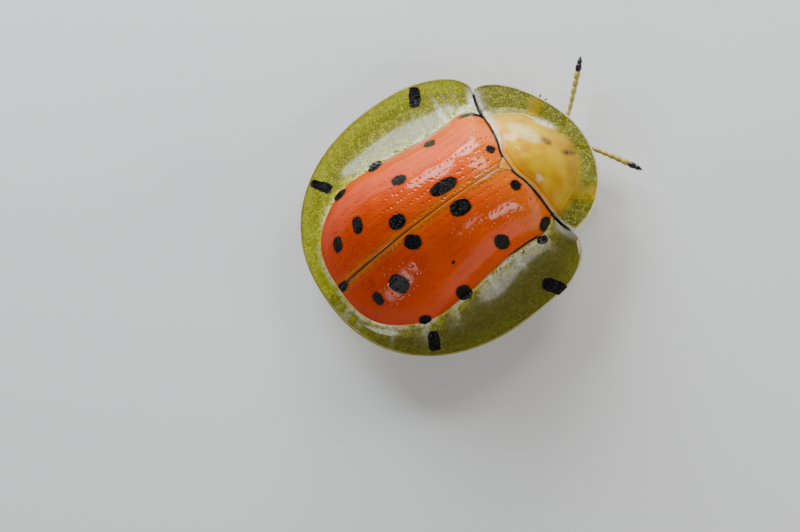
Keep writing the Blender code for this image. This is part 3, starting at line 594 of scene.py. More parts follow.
def margin(shape, bars, edge_spots, seed, right):
    """The left margin: a clear sheet with a beaded rim and a row of coarse pits along the disc.

    Right is 1 for the right margin's details: it is fuller in front and darker with painted shade, and pale
    rays show where a wandering value of the run along the disc is high. On the left they show in front only.
    """
    rows, columns = 420, 56
    plan, height, outward = margin_grid(rows, columns, right * RIGHT_FULLNESS)
    x, y = plan[..., 0], plan[..., 1]
    to_edge = np.hypot(*(plan - plan[:, :1]).transpose(2, 0, 1))
    to_rim = np.hypot(*(plan - plan[:, -1:]).transpose(2, 0, 1))
    run = np.concatenate([[0.0], np.cumsum(np.hypot(*np.diff(plan[:, 0], axis=0).T))])[:, None]
    step = shape.edge_pit_step / MM
    uneven = run + 0.3 * step * np.sin(run * 3.1) + 0.25 * step * np.sin(run * 7.3 + seed)
    pit_run = (uneven / step) % 1.0 - 0.5
    pit_away = np.hypot(pit_run * step, to_edge - 0.12 - 0.05 * np.sin(run * 5.7))
    pit = np.maximum(1 - (pit_away / (0.085 + 0.03 * np.sin(run * 4.3 + seed))) ** 2, 0.0) ** 2
    folds = 0.02 * wander(x, y, seed + 5, 2.2) * ramp(0.1, 0.6, to_edge) * ramp(0.0, 0.5, to_rim)
    bead = 0.045 * bell(to_rim, 0.03, 0.035)
    height = height - 0.05 * pit + folds + bead - 0.04 * bell(to_edge, 0.0, 0.05)
    to_front = y - smooth(JOINT_LINE, x) - 2 * BASE_GAP
    spot = np.maximum(spot_field(x, y, bars, seed, 3.4), spot_field(x, y, edge_spots, seed))
    vein = np.maximum(right, ramp(2.6, 0.6, y)) * ramp(-0.1, 0.5, wander(run, 0.0, seed, 0.4))
    # The right margin's flag for its painted shade rides along as a value.
    return sheet(x, y, height, shape.margin_thickness, 0.03, spot=spot, rim=to_rim, inner=to_edge, pit=pit,
                 front=to_front, deep=right, vein=vein)


def shield(shape):
    """The shield: rings that grow from the middle of its base to its outline, half a superellipse."""
    rings, spokes = 100, 281
    turn = np.linspace(0.0, math.pi, spokes)
    out_x, out_y = shield_outline(turn)
    depth = smooth(JOINT_LINE, np.abs(out_x)) - BASE_GAP - out_y
    depth[[0, -1]] = 0.0
    grow = np.linspace(0.0, 1.0, rings)[:, None]
    x = grow * out_x
    y = smooth(JOINT_LINE, np.abs(x)) - BASE_GAP - grow * depth
    to_base = smooth(JOINT_LINE, np.abs(x)) - BASE_GAP - y
    to_rim = np.hypot(out_x - x, out_y - y)
    hill = hill_share(x, y)
    height = shield_height(x, y)
    height += 0.04 * bell(to_rim, 0.05, 0.06)
    height += 0.02 * wander(x, y, 5, 0.7) * ramp(0.0, 0.4, hill)
    height += 0.035 * bell(to_base, 0.05, 0.05) - 0.03 * bell(to_base, 0.18, 0.06)
    middle = hill - 0.05 * x + 0.05 * wander(x, y, 8, 0.8)
    thin = 0.012 + 0.01 * wander(x, y, 6, 0.7)
    # The fold line is raised, and painted pale along it as a highlight.
    fold = bell(middle, 0.11, thin) * ramp(0.0, 0.6, x) * ramp(2.9, 2.2, x)
    height += 0.025 * fold
    # The pale bead along the base is partly painted reflection: its pale band widens towards the left side.
    flare = ramp(0.5, 2.0, x) * ramp(4.3, 3.7, x)
    bead = bell(to_base, 0.0, 0.035 + 0.26 * flare) * (0.8 + 0.2 * wander(x, y, 9, 0.5))
    eyes, feet = (sum(np.exp(-spread_from(x, y, *place) ** 3) for place in places)
                  for places in (EYE_SMUDGES, FOOT_SMUDGES))
    # A pale milky patch in front: partly the shield's own milky fleck, partly painted reflection.
    milky = np.exp(-(spread_from(x, y, *MILKY_SHEEN_PATCH) + 0.12 * wander(x, y, 7, 0.6)) ** 8)
    # Painted highlight: a pale sheen smudge; it rides in the fold line's value, so it is painted pale the
    # same way.
    sheen = 0.8 * np.exp(-(spread_from(x, y, *SHEEN_PATCH) + 0.2 * wander(x, y, 4, 0.3)) ** 4)
    return sheet(x, y, height, shape.shield_thickness, 0.025, middle=middle, rim=to_rim, base=to_base,
                 bead=bead, fold=np.maximum(fold, sheen), eyes=eyes, feet=feet, milky=milky)


def scutellum(shape):
    """The small triangular plate between the bases of the wing cases, gently crowned."""
    count = 24
    share = np.linspace(0.0, 1.0, count)[:, None]
    aside = np.linspace(-1.0, 1.0, 2 * count + 1)[None]
    half = PLATE_HALF_WIDTH * (1 - share)
    x = half * aside
    y = JOINT_LINE[0][1] + BASE_GAP / 2 + PLATE_LENGTH * share + 0 * x
    height = disc_height(x, y) + 0.02 * (1 - aside ** 2) * (1 - share) - 0.03
    return sheet(x, y, height, shape.disc_thickness, 0.01, side=np.abs(aside) + 0 * x)


def trunk():
    """The body under the wing cases: rings with the dome's section above and a stepped belly below.

    The upper half follows the dome less a clearance. The lower half is a flat superellipse from the
    disc's edge to the belly, whose plates each drop a little at their front edge.
    """
    rows, half = 260, 41
    y = np.linspace(TRUNK_FRONT_Y, TRUNK_TAIL_Y, rows)[:, None]
    reach = disc_half_width(y) - 0.16
    ends = (ramp(TRUNK_FRONT_Y - 0.02, TRUNK_FRONT_Y + 0.3, y) * 0.3 + 0.7) * np.sqrt(
        np.clip(1 - (np.maximum(y - 6.4, 0.0) / 1.75) ** 2.2, 0.0, 1.0))
    turn = np.linspace(0.0, math.pi, half)[None]
    upper_x = np.cos(turn) * reach * ends
    clearance = 0.34 / np.sqrt(1.02 - np.cos(turn) ** 2)
    upper_z = np.maximum(disc_height(upper_x, y + 0 * upper_x) - clearance, 2.35)
    belly = BELLY_HEIGHT + 0.25 * ramp(3.5, 8.0, y)
    plate = np.zeros_like(y)
    for first, last in zip(PLATE_EDGES, PLATE_EDGES[1:]):
        plate += np.where((y >= first) & (y < last), 0.07 * np.exp(-(y - first) / 0.16), 0.0)
    turn = np.linspace(math.pi, 2 * math.pi, half)[None, 1:-1]
    lower_x = np.sign(np.cos(turn)) * np.abs(np.cos(turn)) ** 0.55 * reach * ends
    depth = np.abs(np.sin(turn)) ** 0.75
    groove = 0.05 * bell(lower_x, 0.0, 0.12) * ramp(3.6, 3.2, y)
    lower_z = 2.35 - (2.35 - belly - plate * depth) * depth + groove
    rings = np.concatenate([np.stack([upper_x, y + 0 * upper_x, upper_z], axis=2),
                            np.stack([lower_x, y + 0 * lower_x, lower_z], axis=2)], axis=1)
    nearest = np.min(np.abs(y - np.array(PLATE_EDGES[:-1])[None]), axis=1)[:, None]
    under = np.concatenate([np.zeros(half), np.ones(half - 2)])[None]
    # The upper half's value marks where the body is painted with shade under the shells.
    return wrapped(rings[:, ::-1], seam=bell(nearest, 0.0, 0.05) * under[:, ::-1],
                   top=(1 - under)[:, ::-1])


def prothorax():
    """The front body under the shield: superelliptic rings between the belly and the shield's roof."""
    rows, sides = 70, 72
    share = np.linspace(0.0, 1.0, rows)[:, None]
    y = PROTHORAX_SPAN[0] + (PROTHORAX_SPAN[1] - PROTHORAX_SPAN[0]) * share
    turn = np.arange(sides)[None] * 2 * math.pi / sides
    ends = np.sqrt(np.sqrt(np.clip(1 - (2 * share - 1) ** 8, 0.0, 1.0)))
    x = (PROTHORAX_HALF_WIDTH + PROTHORAX_FLARE * ramp(-1.7, -1.1, y)) * np.cos(turn) * ends
    roof = shield_height(np.abs(x) + 0.2, y) - 0.75
    middle = (BELLY_HEIGHT + roof) / 2
    rise = np.sin(turn)
    upper = (roof - middle) * np.abs(rise) ** 0.8
    lower = -(middle - BELLY_HEIGHT) * np.abs(rise) ** 0.7
    z = middle + np.where(rise >= 0, upper, lower) * ends
    rings = np.stack([x, y + 0 * x, z], axis=2)
    keel = bell(x, 0.0, 0.1) * (rise < 0)
    # The upper side's value marks where the body is painted with shade under the shield.
    return wrapped(rings[:, ::-1], seam=0.5 * keel[:, ::-1], top=(rise > 0.2)[:, ::-1])


def posed(form):
    """A form of the head, turned and moved as the whole head is."""
    return form.turned(HEAD_TURN, (0.0, HEAD_BACK_Y, 0.0), (HEAD_X, 0.0, 0.0))


def head_capsule():
    """The head: elliptic rings from neck to face, wider at the eyes, with grooves down the face."""
    stations = [(0.0, 0.5), (0.25, 0.54), (0.5, 0.6), (0.75, 0.56), (0.93, 0.4), (1.0, 0.04)]
    depths = [(0.0, 0.4), (0.25, 0.46), (0.5, 0.5), (0.75, 0.48), (0.93, 0.3), (1.0, 0.04)]
    rows, sides = 60, 64
    share = np.linspace(0.0, 1.0, rows)[:, None]
    turn = np.arange(sides)[None] * 2 * math.pi / sides
    groove = 0.03 * bell(np.abs(np.cos(turn)), 0.35, 0.1) * ramp(0.4, 0.7, share) * (np.sin(turn) > 0)
    x = smooth(stations, share) * np.cos(turn)
    z = 1.45 - 0.22 * share ** 2 + (smooth(depths, share) - groove) * np.sin(turn)
    rings = np.stack([x, HEAD_BACK_Y - 0.8 * share + 0 * x, z], axis=2)
    return wrapped(rings, seam=groove / 0.03)


def mouth():
    """Upper lip, two curved jaws and two pairs of short jointed palps under the face."""
    forms = [ball((0.0, -3.26, 0.8), (0.32, 0.22, 0.17), 24, 32, seam=0.2)]
    for side in (-1.0, 1.0):
        jaw = curve_through([(side * 0.27, -3.2, 0.8), (side * 0.23, -3.36, 0.58),
                             (side * 0.04, -3.38, 0.44)], 20)
        share = np.linspace(0.0, 1.0, 20)
        radius = 0.11 * (1 - share ** 2) ** 0.5 * np.minimum(1, 8 * share + 0.2)
        forms.append(tube(jaw, radius, radius * 1.2, 18, seam=0.4 + 0.6 * share))
        for reach, outer in ((0.34, 0.42), (0.22, 0.16)):
            palp = curve_through([(side * outer * 0.7, -3.12, 0.8), (side * (outer + 0.04), -3.27, 0.5),
                                  (side * outer, -3.27 - reach / 2, 0.34)], 25)
            share = np.linspace(0.0, 1.0, 25)
            waists = 1 - 0.4 * np.cos(share * 6 * math.pi) ** 8
            radius = 0.05 * waists * np.sqrt(np.clip(1 - share ** 6, 0, 1))
            forms.append(tube(palp, radius, radius, 12, seam=0.1 + 0.3 * share))
    return joined(forms)


def feeler(shape, route):
    """A feeler of eleven joints: each swells towards its end, and the last two are the dark club."""
    rows_each = 14
    count = FEELER_SEGMENTS * rows_each + 1
    place = np.linspace(0.0, 1.0, count)
    path = curve_through(route, count)
    within = (place * FEELER_SEGMENTS) % 1.0
    within[-1] = 1.0
    swell = 0.72 + 0.28 * np.sin(math.pi * np.clip(within * 1.1, 0.0, 1.0)) ** 0.6
    stations = [(0.0, 0.11), (0.1, 0.09), (0.4, 0.105), (0.6, 0.13), (0.8, 0.15), (0.92, 0.14), (1.0, 0.1)]
    radius = smooth(stations, place) * shape.feeler_thickness / MM / 0.26
    tip = np.clip((1 - place) * FEELER_SEGMENTS / 0.9, 0.0, 1.0) ** 0.6
    radius = radius * swell * tip
    return tube(path, radius, radius, 24, club=place, seam=bell(np.minimum(within, 1 - within), 0.0, 0.07))


def spindle(start, end, radii, bow, rows=40, sides=32):
    """A leg joint: a tube between two places, its radius smooth through its stations, with round ends."""
    start, end = np.array(start, dtype=float), np.array(end, dtype=float)
    share = (1 - np.cos(np.linspace(0.0, math.pi, rows))) / 2
    path = start + share[:, None] * (end - start)
    path[:, 2] += bow * np.sin(math.pi * share)
    round_ends = np.clip(1 - np.abs(2 * share - 1) ** 14, 0.0, 1.0) ** 0.5
    radius = smooth(list(zip(np.linspace(0.0, 1.0, len(radii)), radii)), share) * round_ends
    return tube(path, radius, radius * 0.88, sides)


def foot_lobe(centre, heading, length, width, height):
    """A bilobed pad on the floor: its outline is notched in front and its top is a low dome."""
    rows, sides = 14, 40
    level = np.linspace(0.0, 1.0, rows)[:, None]
    turn = np.arange(sides)[None] * 2 * math.pi / sides
    scale = np.where(level < 0.3, 0.86 + 0.14 * np.sin(level / 0.3 * math.pi / 2),
                     np.sqrt(np.clip(1 - ((level - 0.3) / 0.7) ** 2.2, 0.0, 1.0)))
    notch = 1 - 0.42 * bell(np.arctan2(np.sin(turn), np.cos(turn)), 0.0, 0.42) * ramp(0.05, 0.9, scale)
    along = np.cos(turn) * scale * notch * length / 2
    aside = np.sin(turn) * scale * width / 2
    x = centre[0] + along * heading[0] - aside * heading[1]
    y = centre[1] + along * heading[1] + aside * heading[0]
    return wrapped(np.stack([x, y, level * height + 0 * x], axis=2))


def leg(shape, plan, side):
    """One leg: hip, ring joint, thigh, shin, three bilobed foot pads, the claw joint and two claws."""
    thick = shape.leg_thickness / MM / 0.44
    flip = np.array([side, 1.0])
    hip, knee, ankle, end = [np.array(place) * flip for place in plan]
    heading = (end - ankle) / np.linalg.norm(end - ankle)
    aside = np.array([-heading[1], heading[0]])
    outward = (knee - hip) / np.linalg.norm(knee - hip)
    forms = [ball((*hip, HIP_HEIGHT + 0.14), (0.36, 0.36, 0.42), 24, 32),
             ball((*(hip + outward * 0.34), HIP_HEIGHT), (0.2, 0.2, 0.19), 16, 24),
             spindle((*(hip + outward * 0.25), HIP_HEIGHT), (*(knee + outward * 0.1), KNEE_HEIGHT),
                     thick * np.array([0.14, 0.23, 0.25, 0.2, 0.17]), 0.05),
             spindle((*knee, KNEE_HEIGHT + 0.04), (*ankle, ANKLE_HEIGHT - 0.1),
                     thick * np.array([0.13, 0.12, 0.13, 0.15, 0.17]), 0.06)]
    length = np.linalg.norm(end - ankle)
    pads = ((0.1, 0.42, 0.34, 0.34), (0.42, 0.42, 0.4, 0.3), (0.74, 0.5, 0.5, 0.28))
    for share, size, width, height in pads:
        forms.append(foot_lobe(ankle + (end - ankle) * share, heading, size * length, width, height))
    claw_start = ankle + (end - ankle) * 0.74
    forms.append(spindle((*claw_start, 0.24), (*(end + heading * 0.05), 0.3), [0.06, 0.065, 0.08, 0.09], 0.03,
                         24, 20))
    for spread in (-1.0, 1.0):
        root, middle = end + aside * spread * 0.04, end + heading * 0.2 + aside * spread * 0.15
        point = end + heading * 0.32 + aside * spread * 0.17
        path = curve_through([(*root, 0.3), (*middle, 0.27), (*point, 0.07)], 24)
        share = np.linspace(0.0, 1.0, 24)
        radius = 0.06 * np.sqrt(np.clip(1 - share ** 1.5, 0.0, 1.0)) + 0.001
        forms.append(tube(path, radius, radius, 14, claw=ramp(0.0, 0.35, share)))
    return joined(forms)


# Shader maths

class Shade:
    """The output of a shader node; sums, differences and products of it add Math nodes."""

    def __init__(self, paint, socket):
        self.paint = paint
        self.socket = socket

    def math(self, operation, first, second):
        return self.paint.node("ShaderNodeMath", {"operation": operation}, {0: first, 1: second})

    def __add__(self, other):
        return self.math("ADD", self, other)

    def __sub__(self, other):
        return self.math("SUBTRACT", self, other)

    def __rsub__(self, other):
        return self.math("SUBTRACT", other, self)

    def __mul__(self, other):
        return self.math("MULTIPLY", self, other)

    def highest(self, other):
        return self.math("MAXIMUM", self, other)

    __radd__ = __add__
    __rmul__ = __mul__


class Paint:
    def __init__(self, name, colours):
        self.colours = colours
        self.material = bpy.data.materials.new(name)
        self.material.use_nodes = True
        self.tree = self.material.node_tree
        self.shader = self.tree.nodes["Principled BSDF"]

    def node(self, kind, settings=(), sockets=(), output=0):
        """A node of a type, its settings made first, with values or links for its sockets."""
        node = self.tree.nodes.new(kind)
        for name, value in dict(settings).items():
            setattr(node, name, value)
        for name, value in dict(sockets).items():
            self.feed(node.inputs[name], value)
        return Shade(self, node.outputs[output])

    def feed(self, socket, value):
        """Link a shade to a socket, or set the socket's own value; a name stands for a colour setting."""
        if isinstance(value, Shade):
            self.tree.links.new(value.socket, socket)
        elif isinstance(value, str):
            socket.default_value = (*getattr(self.colours, value), 1.0)
        else:
            socket.default_value = value

    def value(self, name):
        """A value that the piece's mesh carries at its points."""
        return self.node("ShaderNodeAttribute", {"attribute_name": name}, output=2)

    def values(self, names):
        """Several of these values, from their names with spaces between them."""
        return [self.value(name) for name in names.split()]

    def place(self):
        """The place in the piece's own coordinates, in metres."""
        return self.node("ShaderNodeTexCoord", output=3)

    def coordinate(self, axis):
        """One coordinate of the place: 0 is x and 1 is y."""
        return self.node("ShaderNodeSeparateXYZ", {}, {0: self.place()}, axis)

    def band(self, value, low, high, start=0.0, end=1.0):
        """A smooth step of a value between two limits."""
        return self.node("ShaderNodeMapRange", {"interpolation_type": "SMOOTHSTEP"},
                         {0: value, 1: low, 2: high, 3: start, 4: end})

    def mix(self, share, first, second):
        """Two colours blended by a share."""
        return self.node("ShaderNodeMix", {"data_type": "RGBA"}, {0: share, 6: first, 7: second}, 2)

    def layered(self, colour, *layers):
        """A colour with others laid over it in turn, each by its share."""
        for share, layer in layers:
            colour = self.mix(share, colour, layer)
        return colour

    def noise(self, size, detail=2.0):
        """Cloudy noise about 0.5 with features of a size in metres."""
        return self.node("ShaderNodeTexNoise", {}, {"Vector": self.place(), "Scale": 1 / size,
                                                    "Detail": detail, "Roughness": 0.5})

    def warped(self, size):
        """The place, pushed aside by noise, so that cells of a size become uneven."""
        push = self.node("ShaderNodeTexNoise", {}, {"Vector": self.place(), "Scale": 0.35 / size}, 1)
        return self.node("ShaderNodeVectorMath", {"operation": "MULTIPLY_ADD"},
                         {0: push, 1: (2.2 * size,) * 3, 2: self.place()})

    def cells(self, size):
        """A net of cells of a size in metres seen from above: the distance from the nearest wall."""
        return self.node("ShaderNodeTexVoronoi", {"voronoi_dimensions": "2D", "feature": "DISTANCE_TO_EDGE"},
                         {"Vector": self.warped(size), "Scale": 1 / size})

    def cell_lots(self, size):
        """A random value for each cell of the same net."""
        return self.node("ShaderNodeTexVoronoi", {"voronoi_dimensions": "2D"},
                         {"Vector": self.warped(size), "Scale": 1 / size}, 1)

    def bump(self, height, distance):
        """A normal from a height, whose full range is a distance in metres."""
        return self.node("ShaderNodeBump", {}, {"Strength": 1.0, "Distance": distance, "Height": height})

    def finish(self, **sockets):
        """Feed the shader's sockets, named with underscores for spaces."""
        for name, value in sockets.items():
            self.feed(self.shader.inputs[name.replace("_", " ")], value)
        return self.material

    def film(self, solid_share, tint_name):
        """Let the rest of the light through with a tint, as a clear coloured film does."""
        clear = self.node("ShaderNodeBsdfTransparent", {}, {"Color": tint_name})
        mixed = self.node("ShaderNodeMixShader", {},
                          {0: solid_share, 1: clear, 2: Shade(self, self.shader.outputs[0])})
        self.feed(self.tree.nodes["Material Output"].inputs["Surface"], mixed)


# Materials

def wing_paint(colours):
    """Glossy orange, yellower in front and along seams, redder at the rear, with black spots."""
    paint = Paint("wing case orange", colours)
    suture, edge, front, pit, spot, stripe = paint.values("suture edge front pit spot stripe")
    pale, faint, corner = paint.values("pale faint corner")
    cloud, fine = paint.noise(0.0011, 3.0), paint.noise(0.00016)
    rear = paint.band(paint.coordinate(1), -0.001, 0.0075)
    seam, black = paint.band(suture, 0.08, 0.03), paint.band(spot, *SPOT_EDGE)
    row = paint.band(suture, 0.2, 0.26) * paint.band(suture, 0.34, 0.28) * paint.band(fine, 0.42, 0.55)
    base = paint.layered(
        paint.mix(rear * 0.8 + (cloud - 0.5) * 0.6, "orange", "deep_orange"),
        (paint.band(front, 2.4, 0.1) * 0.6, "yellow_orange"),
        (paint.band(suture, 0.5, 0.12) * 0.55, "suture_tan"),
        (row * 0.5, "pit_brown"),
        (paint.band(edge, 0.35, 0.0) * 0.5, "deep_orange"),
        (stripe * paint.band(cloud, 0.35, 0.7) * 0.35, "deep_orange"),
        (paint.band(pit, 0.3, 0.9) * 0.22, "pit_brown"),
        (paint.band(suture, 0.02 + rear * 0.1, 0.008) * (0.55 + rear * 0.45), "seam_brown"),
        # The painted highlight along the suture's raised border.
        (pale * 0.6, "bead_cream"),
        (paint.band(front, 0.11, 0.07), "seam_brown"),
        (paint.band(spot, -0.12, 0.0) * 0.45, "pit_brown"),
        (black, "black"),
        (faint * paint.band(fine, 0.35, 0.6) * 0.6, "pit_brown"),
        (corner, "black"))
    dimples = paint.band(paint.cells(0.00009), 0.0, 0.4)
    relief = (fine - 0.5) * 0.25 + (cloud - 0.5) * 0.3 + dimples * black * 0.8
    coat = (0.42 - black * 0.34) * (1 - seam) * (1 - rear * paint.band(edge, 2.6, 0.8))
    return paint.finish(Base_Color=base, Roughness=0.17 + (fine - 0.5) * 0.1 - black * 0.03 + seam * 0.5,
                        Normal=paint.bump(relief, 0.00002), Coat_Weight=coat, Coat_Roughness=0.13,
                        IOR=CUTICLE_IOR, Specular_IOR_Level=0.13)


def netted_film(paint, share):
    """The net's walls and the clear sheet's colour: golden cells between walls that share fades."""
    net = paint.band(paint.cells(NET_CELL), 0.3, 0.08)
    golden = paint.mix(paint.band(paint.cell_lots(NET_CELL), 0.3, 0.75), "clear_olive", "golden")
    return net, paint.mix(net * share, golden, "net_brown")


def margin_paint(colours):
    """A clear olive-yellow sheet with a net of fine cells, pale rays, a pale rim and black bars."""
    paint = Paint("clear margin", colours)
    rim, inner, pit, spot, front, vein, deep = paint.values("rim inner pit spot front vein deep")
    cloud, fleck = paint.noise(0.0009), paint.noise(0.00022)
    faded = paint.band(inner, 0.1, 0.7, 0.4, 1.0) * paint.band(rim, 0.1, 0.9, 0.35, 1.0)
    net, film = netted_film(paint, faded * 0.85)
    ray = vein * paint.band(inner, 2.1 - deep * 0.8, 0.4) * paint.band(fleck, 0.35, 0.6, 0.35, 1.0)
    # Painted highlight: a pale sheen band along the margin's front edge.
    painted_front_sheen = paint.band(front, 0.5, 0.1) * paint.band(inner, 0.1, 0.5) * paint.band(cloud, 0.3, 0.6, 0.6, 1.0)
    # The pale rim line is partly a real bead and partly a painted highlight, brightest in front.
    edge_line = paint.band(rim, *EDGE_LINE)
    rim_highlight_colour = paint.mix(paint.band(paint.coordinate(1), -0.0005, 0.0025), "rim_yellow", "rim_gold")
    black = paint.band(spot, *SPOT_EDGE).highest(paint.band(front, 0.07, 0.045))
    base = paint.layered(
        film,
        # Painted shade: the right margin is laid over with a darker olive.
        (deep * paint.band(inner, 0.1, 1.0, 0.35, 0.8), "deep_olive"),
        (ray * (0.75 - deep * 0.35), "bead_cream"),
        # The painted front sheen.
        (painted_front_sheen * 0.85, "bead_cream"),
        (paint.band(inner, 0.2, 0.0) * 0.5, "amber"),
        (paint.band(inner, 0.3, 0.1) * paint.band(cloud, 0.35, 0.6) * 0.5, "rim_yellow"),
        (paint.band(pit, 0.1, 0.8) * 0.4, "net_brown"),
        (edge_line * 0.7, rim_highlight_colour),
        (black, "black"))
    share = paint.band(rim, 0.1, 1.4, 0.24, 0.44) + net * faded * 0.34 + (cloud - 0.5) * 0.2
    # The right margin's extra share here is painted shade: a more solid, darker sheet.
    share = share + edge_line * 0.35 + paint.band(inner, 0.3, 0.0) * 0.4 + deep * 0.3
    share = share + painted_front_sheen * 0.3 + ray * 0.2
    paint.film(share.highest(black), "film")
    return paint.finish(Base_Color=base, Roughness=0.28 - black * 0.1, Coat_Weight=1.0 - black * 0.9,
                        Normal=paint.bump(net * -0.5 + (cloud - 0.5) * 0.5, 0.00002), Coat_Roughness=0.11,
                        IOR=CUTICLE_IOR, Specular_IOR_Level=0.25)


def shield_paint(colours):
    """Cloudy amber in the raised middle, clear and netted round it, with a pale base, fold and rim."""
    paint = Paint("shield amber", colours)
    middle_value, rim, base_line, bead, fold = paint.values("middle rim base bead fold")
    eyes, feet, milky = paint.values("eyes feet milky")
    cloud, fleck = paint.noise(0.0008, 3.0), paint.noise(0.00022)
    border_limit = paint.band(paint.coordinate(0), 0.0006, -0.0008, 0.06, -0.12)
    middle = paint.band(middle_value, border_limit, 0.16)
    net, film = netted_film(paint, 0.85)
    edge_line = paint.band(rim, *EDGE_LINE)
    # The pale bead along the base, partly painted reflection.
    pale = bead * paint.band(fleck, 0.3, 0.55, 0.6, 1.0)
    # Painted highlights: pale along the fold line and on the sheen patch.
    pale = pale.highest(fold * paint.band(fleck, 0.3, 0.6, 0.5, 1.0))
    amber = paint.layered(
        paint.mix(paint.band(cloud, 0.35, 0.65), "amber", "deep_amber"),
        (paint.band(base_line, 0.8, 0.1) * 0.5, "yellow_orange"),
        # The milky patch, partly painted reflection.
        (milky * paint.band(fleck, 0.3, 0.6, 0.45, 0.9), "milk"))
    base = paint.layered(
        film,
        (feet * paint.band(cloud, 0.3, 0.6, 0.3, 0.65), "amber"),
        (middle, amber),
        (eyes * paint.band(fleck, 0.3, 0.6, 0.6, 1.0), "seam_brown"),
        (pale, "bead_cream"),
        (edge_line * 0.85, "rim_yellow"))
    share = 0.38 + net * 0.32 * (1 - middle) + paint.band(middle_value, -0.1, 0.6) * 0.62
    paint.film(share + edge_line * 0.4 + pale * 0.55, "shield_film")
    relief = net * (1 - middle) * -0.5 + (cloud - 0.5) * 0.8
    return paint.finish(Base_Color=base, Roughness=0.17, Normal=paint.bump(relief, 0.00003),
                        Coat_Weight=0.7 - middle * 0.5, Coat_Roughness=0.1, IOR=CUTICLE_IOR,
                        Specular_IOR_Level=0.2)


def plate_paint(colours):
    """Glossy amber with paler sides."""
    paint = Paint("scutellum amber", colours)
    cloud = paint.noise(0.0003)
    base = paint.layered(paint.mix(paint.band(cloud, 0.3, 0.7), "amber", "yellow_orange"),
                         (paint.band(paint.value("side"), 0.85, 1.0) * 0.5, "rim_yellow"))
    return paint.finish(Base_Color=base, Roughness=0.25, Coat_Weight=0.8, Coat_Roughness=0.1,
                        IOR=CUTICLE_IOR, Normal=paint.bump(cloud, 0.00001))


def satin(paint, base, rough, cloud, fine, depth):
    """The finish of body and limbs: satin with fine wrinkles of a depth in metres."""
    return paint.finish(Base_Color=base, Roughness=rough + (fine - 0.5) * 0.2, IOR=CUTICLE_IOR,
                        Normal=paint.bump(fine + cloud * 0.5, depth), Coat_Weight=0.25, Coat_Roughness=0.2)


def body_paint(colours, name):
    """Satin yellow with brown seams, finely wrinkled, and painted shade where the shells cover it."""
    paint = Paint(name, colours)
    cloud, fine = paint.noise(0.0007, 3.0), paint.noise(0.00006)
    base = paint.layered(paint.mix(paint.band(cloud, 0.3, 0.7), "body_yellow", "body_tan"),
                         (paint.band(paint.value("seam"), 0.1, 1.0) * 0.8, "seam_brown"),
                         # Painted shade: dark brown on the top, where the shells cover the body.
                         (paint.value("top") * 0.85, "seam_brown"))
    return satin(paint, base, 0.4, cloud, fine, 0.000012)


def eye_paint(colours):
    """Near black with a fine net of facets."""
    paint = Paint("eye black", colours)
    facets = paint.node("ShaderNodeTexVoronoi", {"feature": "DISTANCE_TO_EDGE"},
                        {"Vector": paint.place(), "Scale": 1 / EYE_FACET})
    base = paint.mix(paint.band(facets, 0.0, 0.3), "seam_brown", "black")
    return paint.finish(Base_Color=base, Roughness=0.22, IOR=CUTICLE_IOR, Normal=paint.bump(facets, 0.000004),
                        Coat_Weight=0.5, Coat_Roughness=0.1)


def limb_paint(colours, name, main, dark_value, dark_low, dark_high):
    """Satin yellow that turns black along a value, with brownish joints and fine wrinkles."""
    paint = Paint(name, colours)
    cloud, fine = paint.noise(0.0004, 3.0), paint.noise(0.00004)
    base = paint.layered(paint.mix(paint.band(cloud, 0.3, 0.7) * 0.4, main, "body_yellow"),
                         (paint.value("seam") * 0.5, "body_tan"),
                         (paint.band(paint.value(dark_value), dark_low, dark_high), "black"))
    return satin(paint, base, 0.38, cloud, fine, 0.000008)


def floor_paint(colours):
    """A matt pale floor with a faint grain."""
    paint = Paint("pale floor", colours)
    return paint.finish(Base_Color=paint.mix(paint.noise(0.002, 3.0) * 0.04, "floor", (1.0, 1.0, 1.0, 1.0)),
                        Roughness=0.8)


def add_piece(name, form, material, slot, *nodes):
    """A mesh object at the origin that rides on the body and stands for CAD nodes."""
    mesh = bpy.data.meshes.new(name)
    places = (form.points - (0.0, SHIFT_Y, 0.0)) * MM
    mesh.from_pydata(places.tolist(), [], form.triangles.tolist())
    for key, value in form.values.items():
        mesh.attributes.new(key, "FLOAT", "POINT").data.foreach_set("value", value.astype(np.float32))
    mesh.materials.append(material)
    mesh.shade_smooth()
    mesh.set_sharp_from_angle(angle=SHARP_ANGLE)
    piece = bpy.data.objects.new(name, mesh)
    bpy.context.scene.collection.objects.link(piece)
    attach(piece, "root")
    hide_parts(*nodes)


def add_to_stage(name, data, right, up, backward, place):
    """A light or camera at a place in metres, turned to its own three axes."""
    matrix = np.eye(4)
    matrix[:3, :3] = np.stack([right, up, backward], axis=1)
    matrix[:3, 3] = place
    item = bpy.data.objects.new(name, data)
    item.matrix_world = Matrix(matrix.tolist())
    bpy.context.scene.collection.objects.link(item)
    return item


# Settings

def length(label, description, default):
    """A length setting in metres."""
    return bpy.props.FloatProperty(name=label, description=description, default=default, unit="LENGTH",
                                   precision=5, min=0.0)


def tint(label, description, default):
    """A colour setting in linear light."""
    return bpy.props.FloatVectorProperty(name=label, description=description, default=default,
                                         subtype="COLOR", size=3, min=0.0, max=1.0)


class BeetleShape(bpy.types.PropertyGroup):
    """Sizes of the beetle's thin parts and relief."""
    disc_thickness: length("Wing case", "Thickness of the domed disc", 0.00012)
    margin_thickness: length("Margin", "Thickness of the clear margin", 0.0001)
    shield_thickness: length("Shield", "Thickness of the shield", 0.00011)
    pit_depth: length("Punctures", "Depth of the strongest punctures", 0.000055)
    edge_pit_step: length("Edge pits", "Distance between the coarse pits along the disc", 0.00034)
    feeler_thickness: length("Feelers", "Thickness of a feeler's club", 0.00026)
    leg_thickness: length("Legs", "Thickness of a thigh", 0.00044)


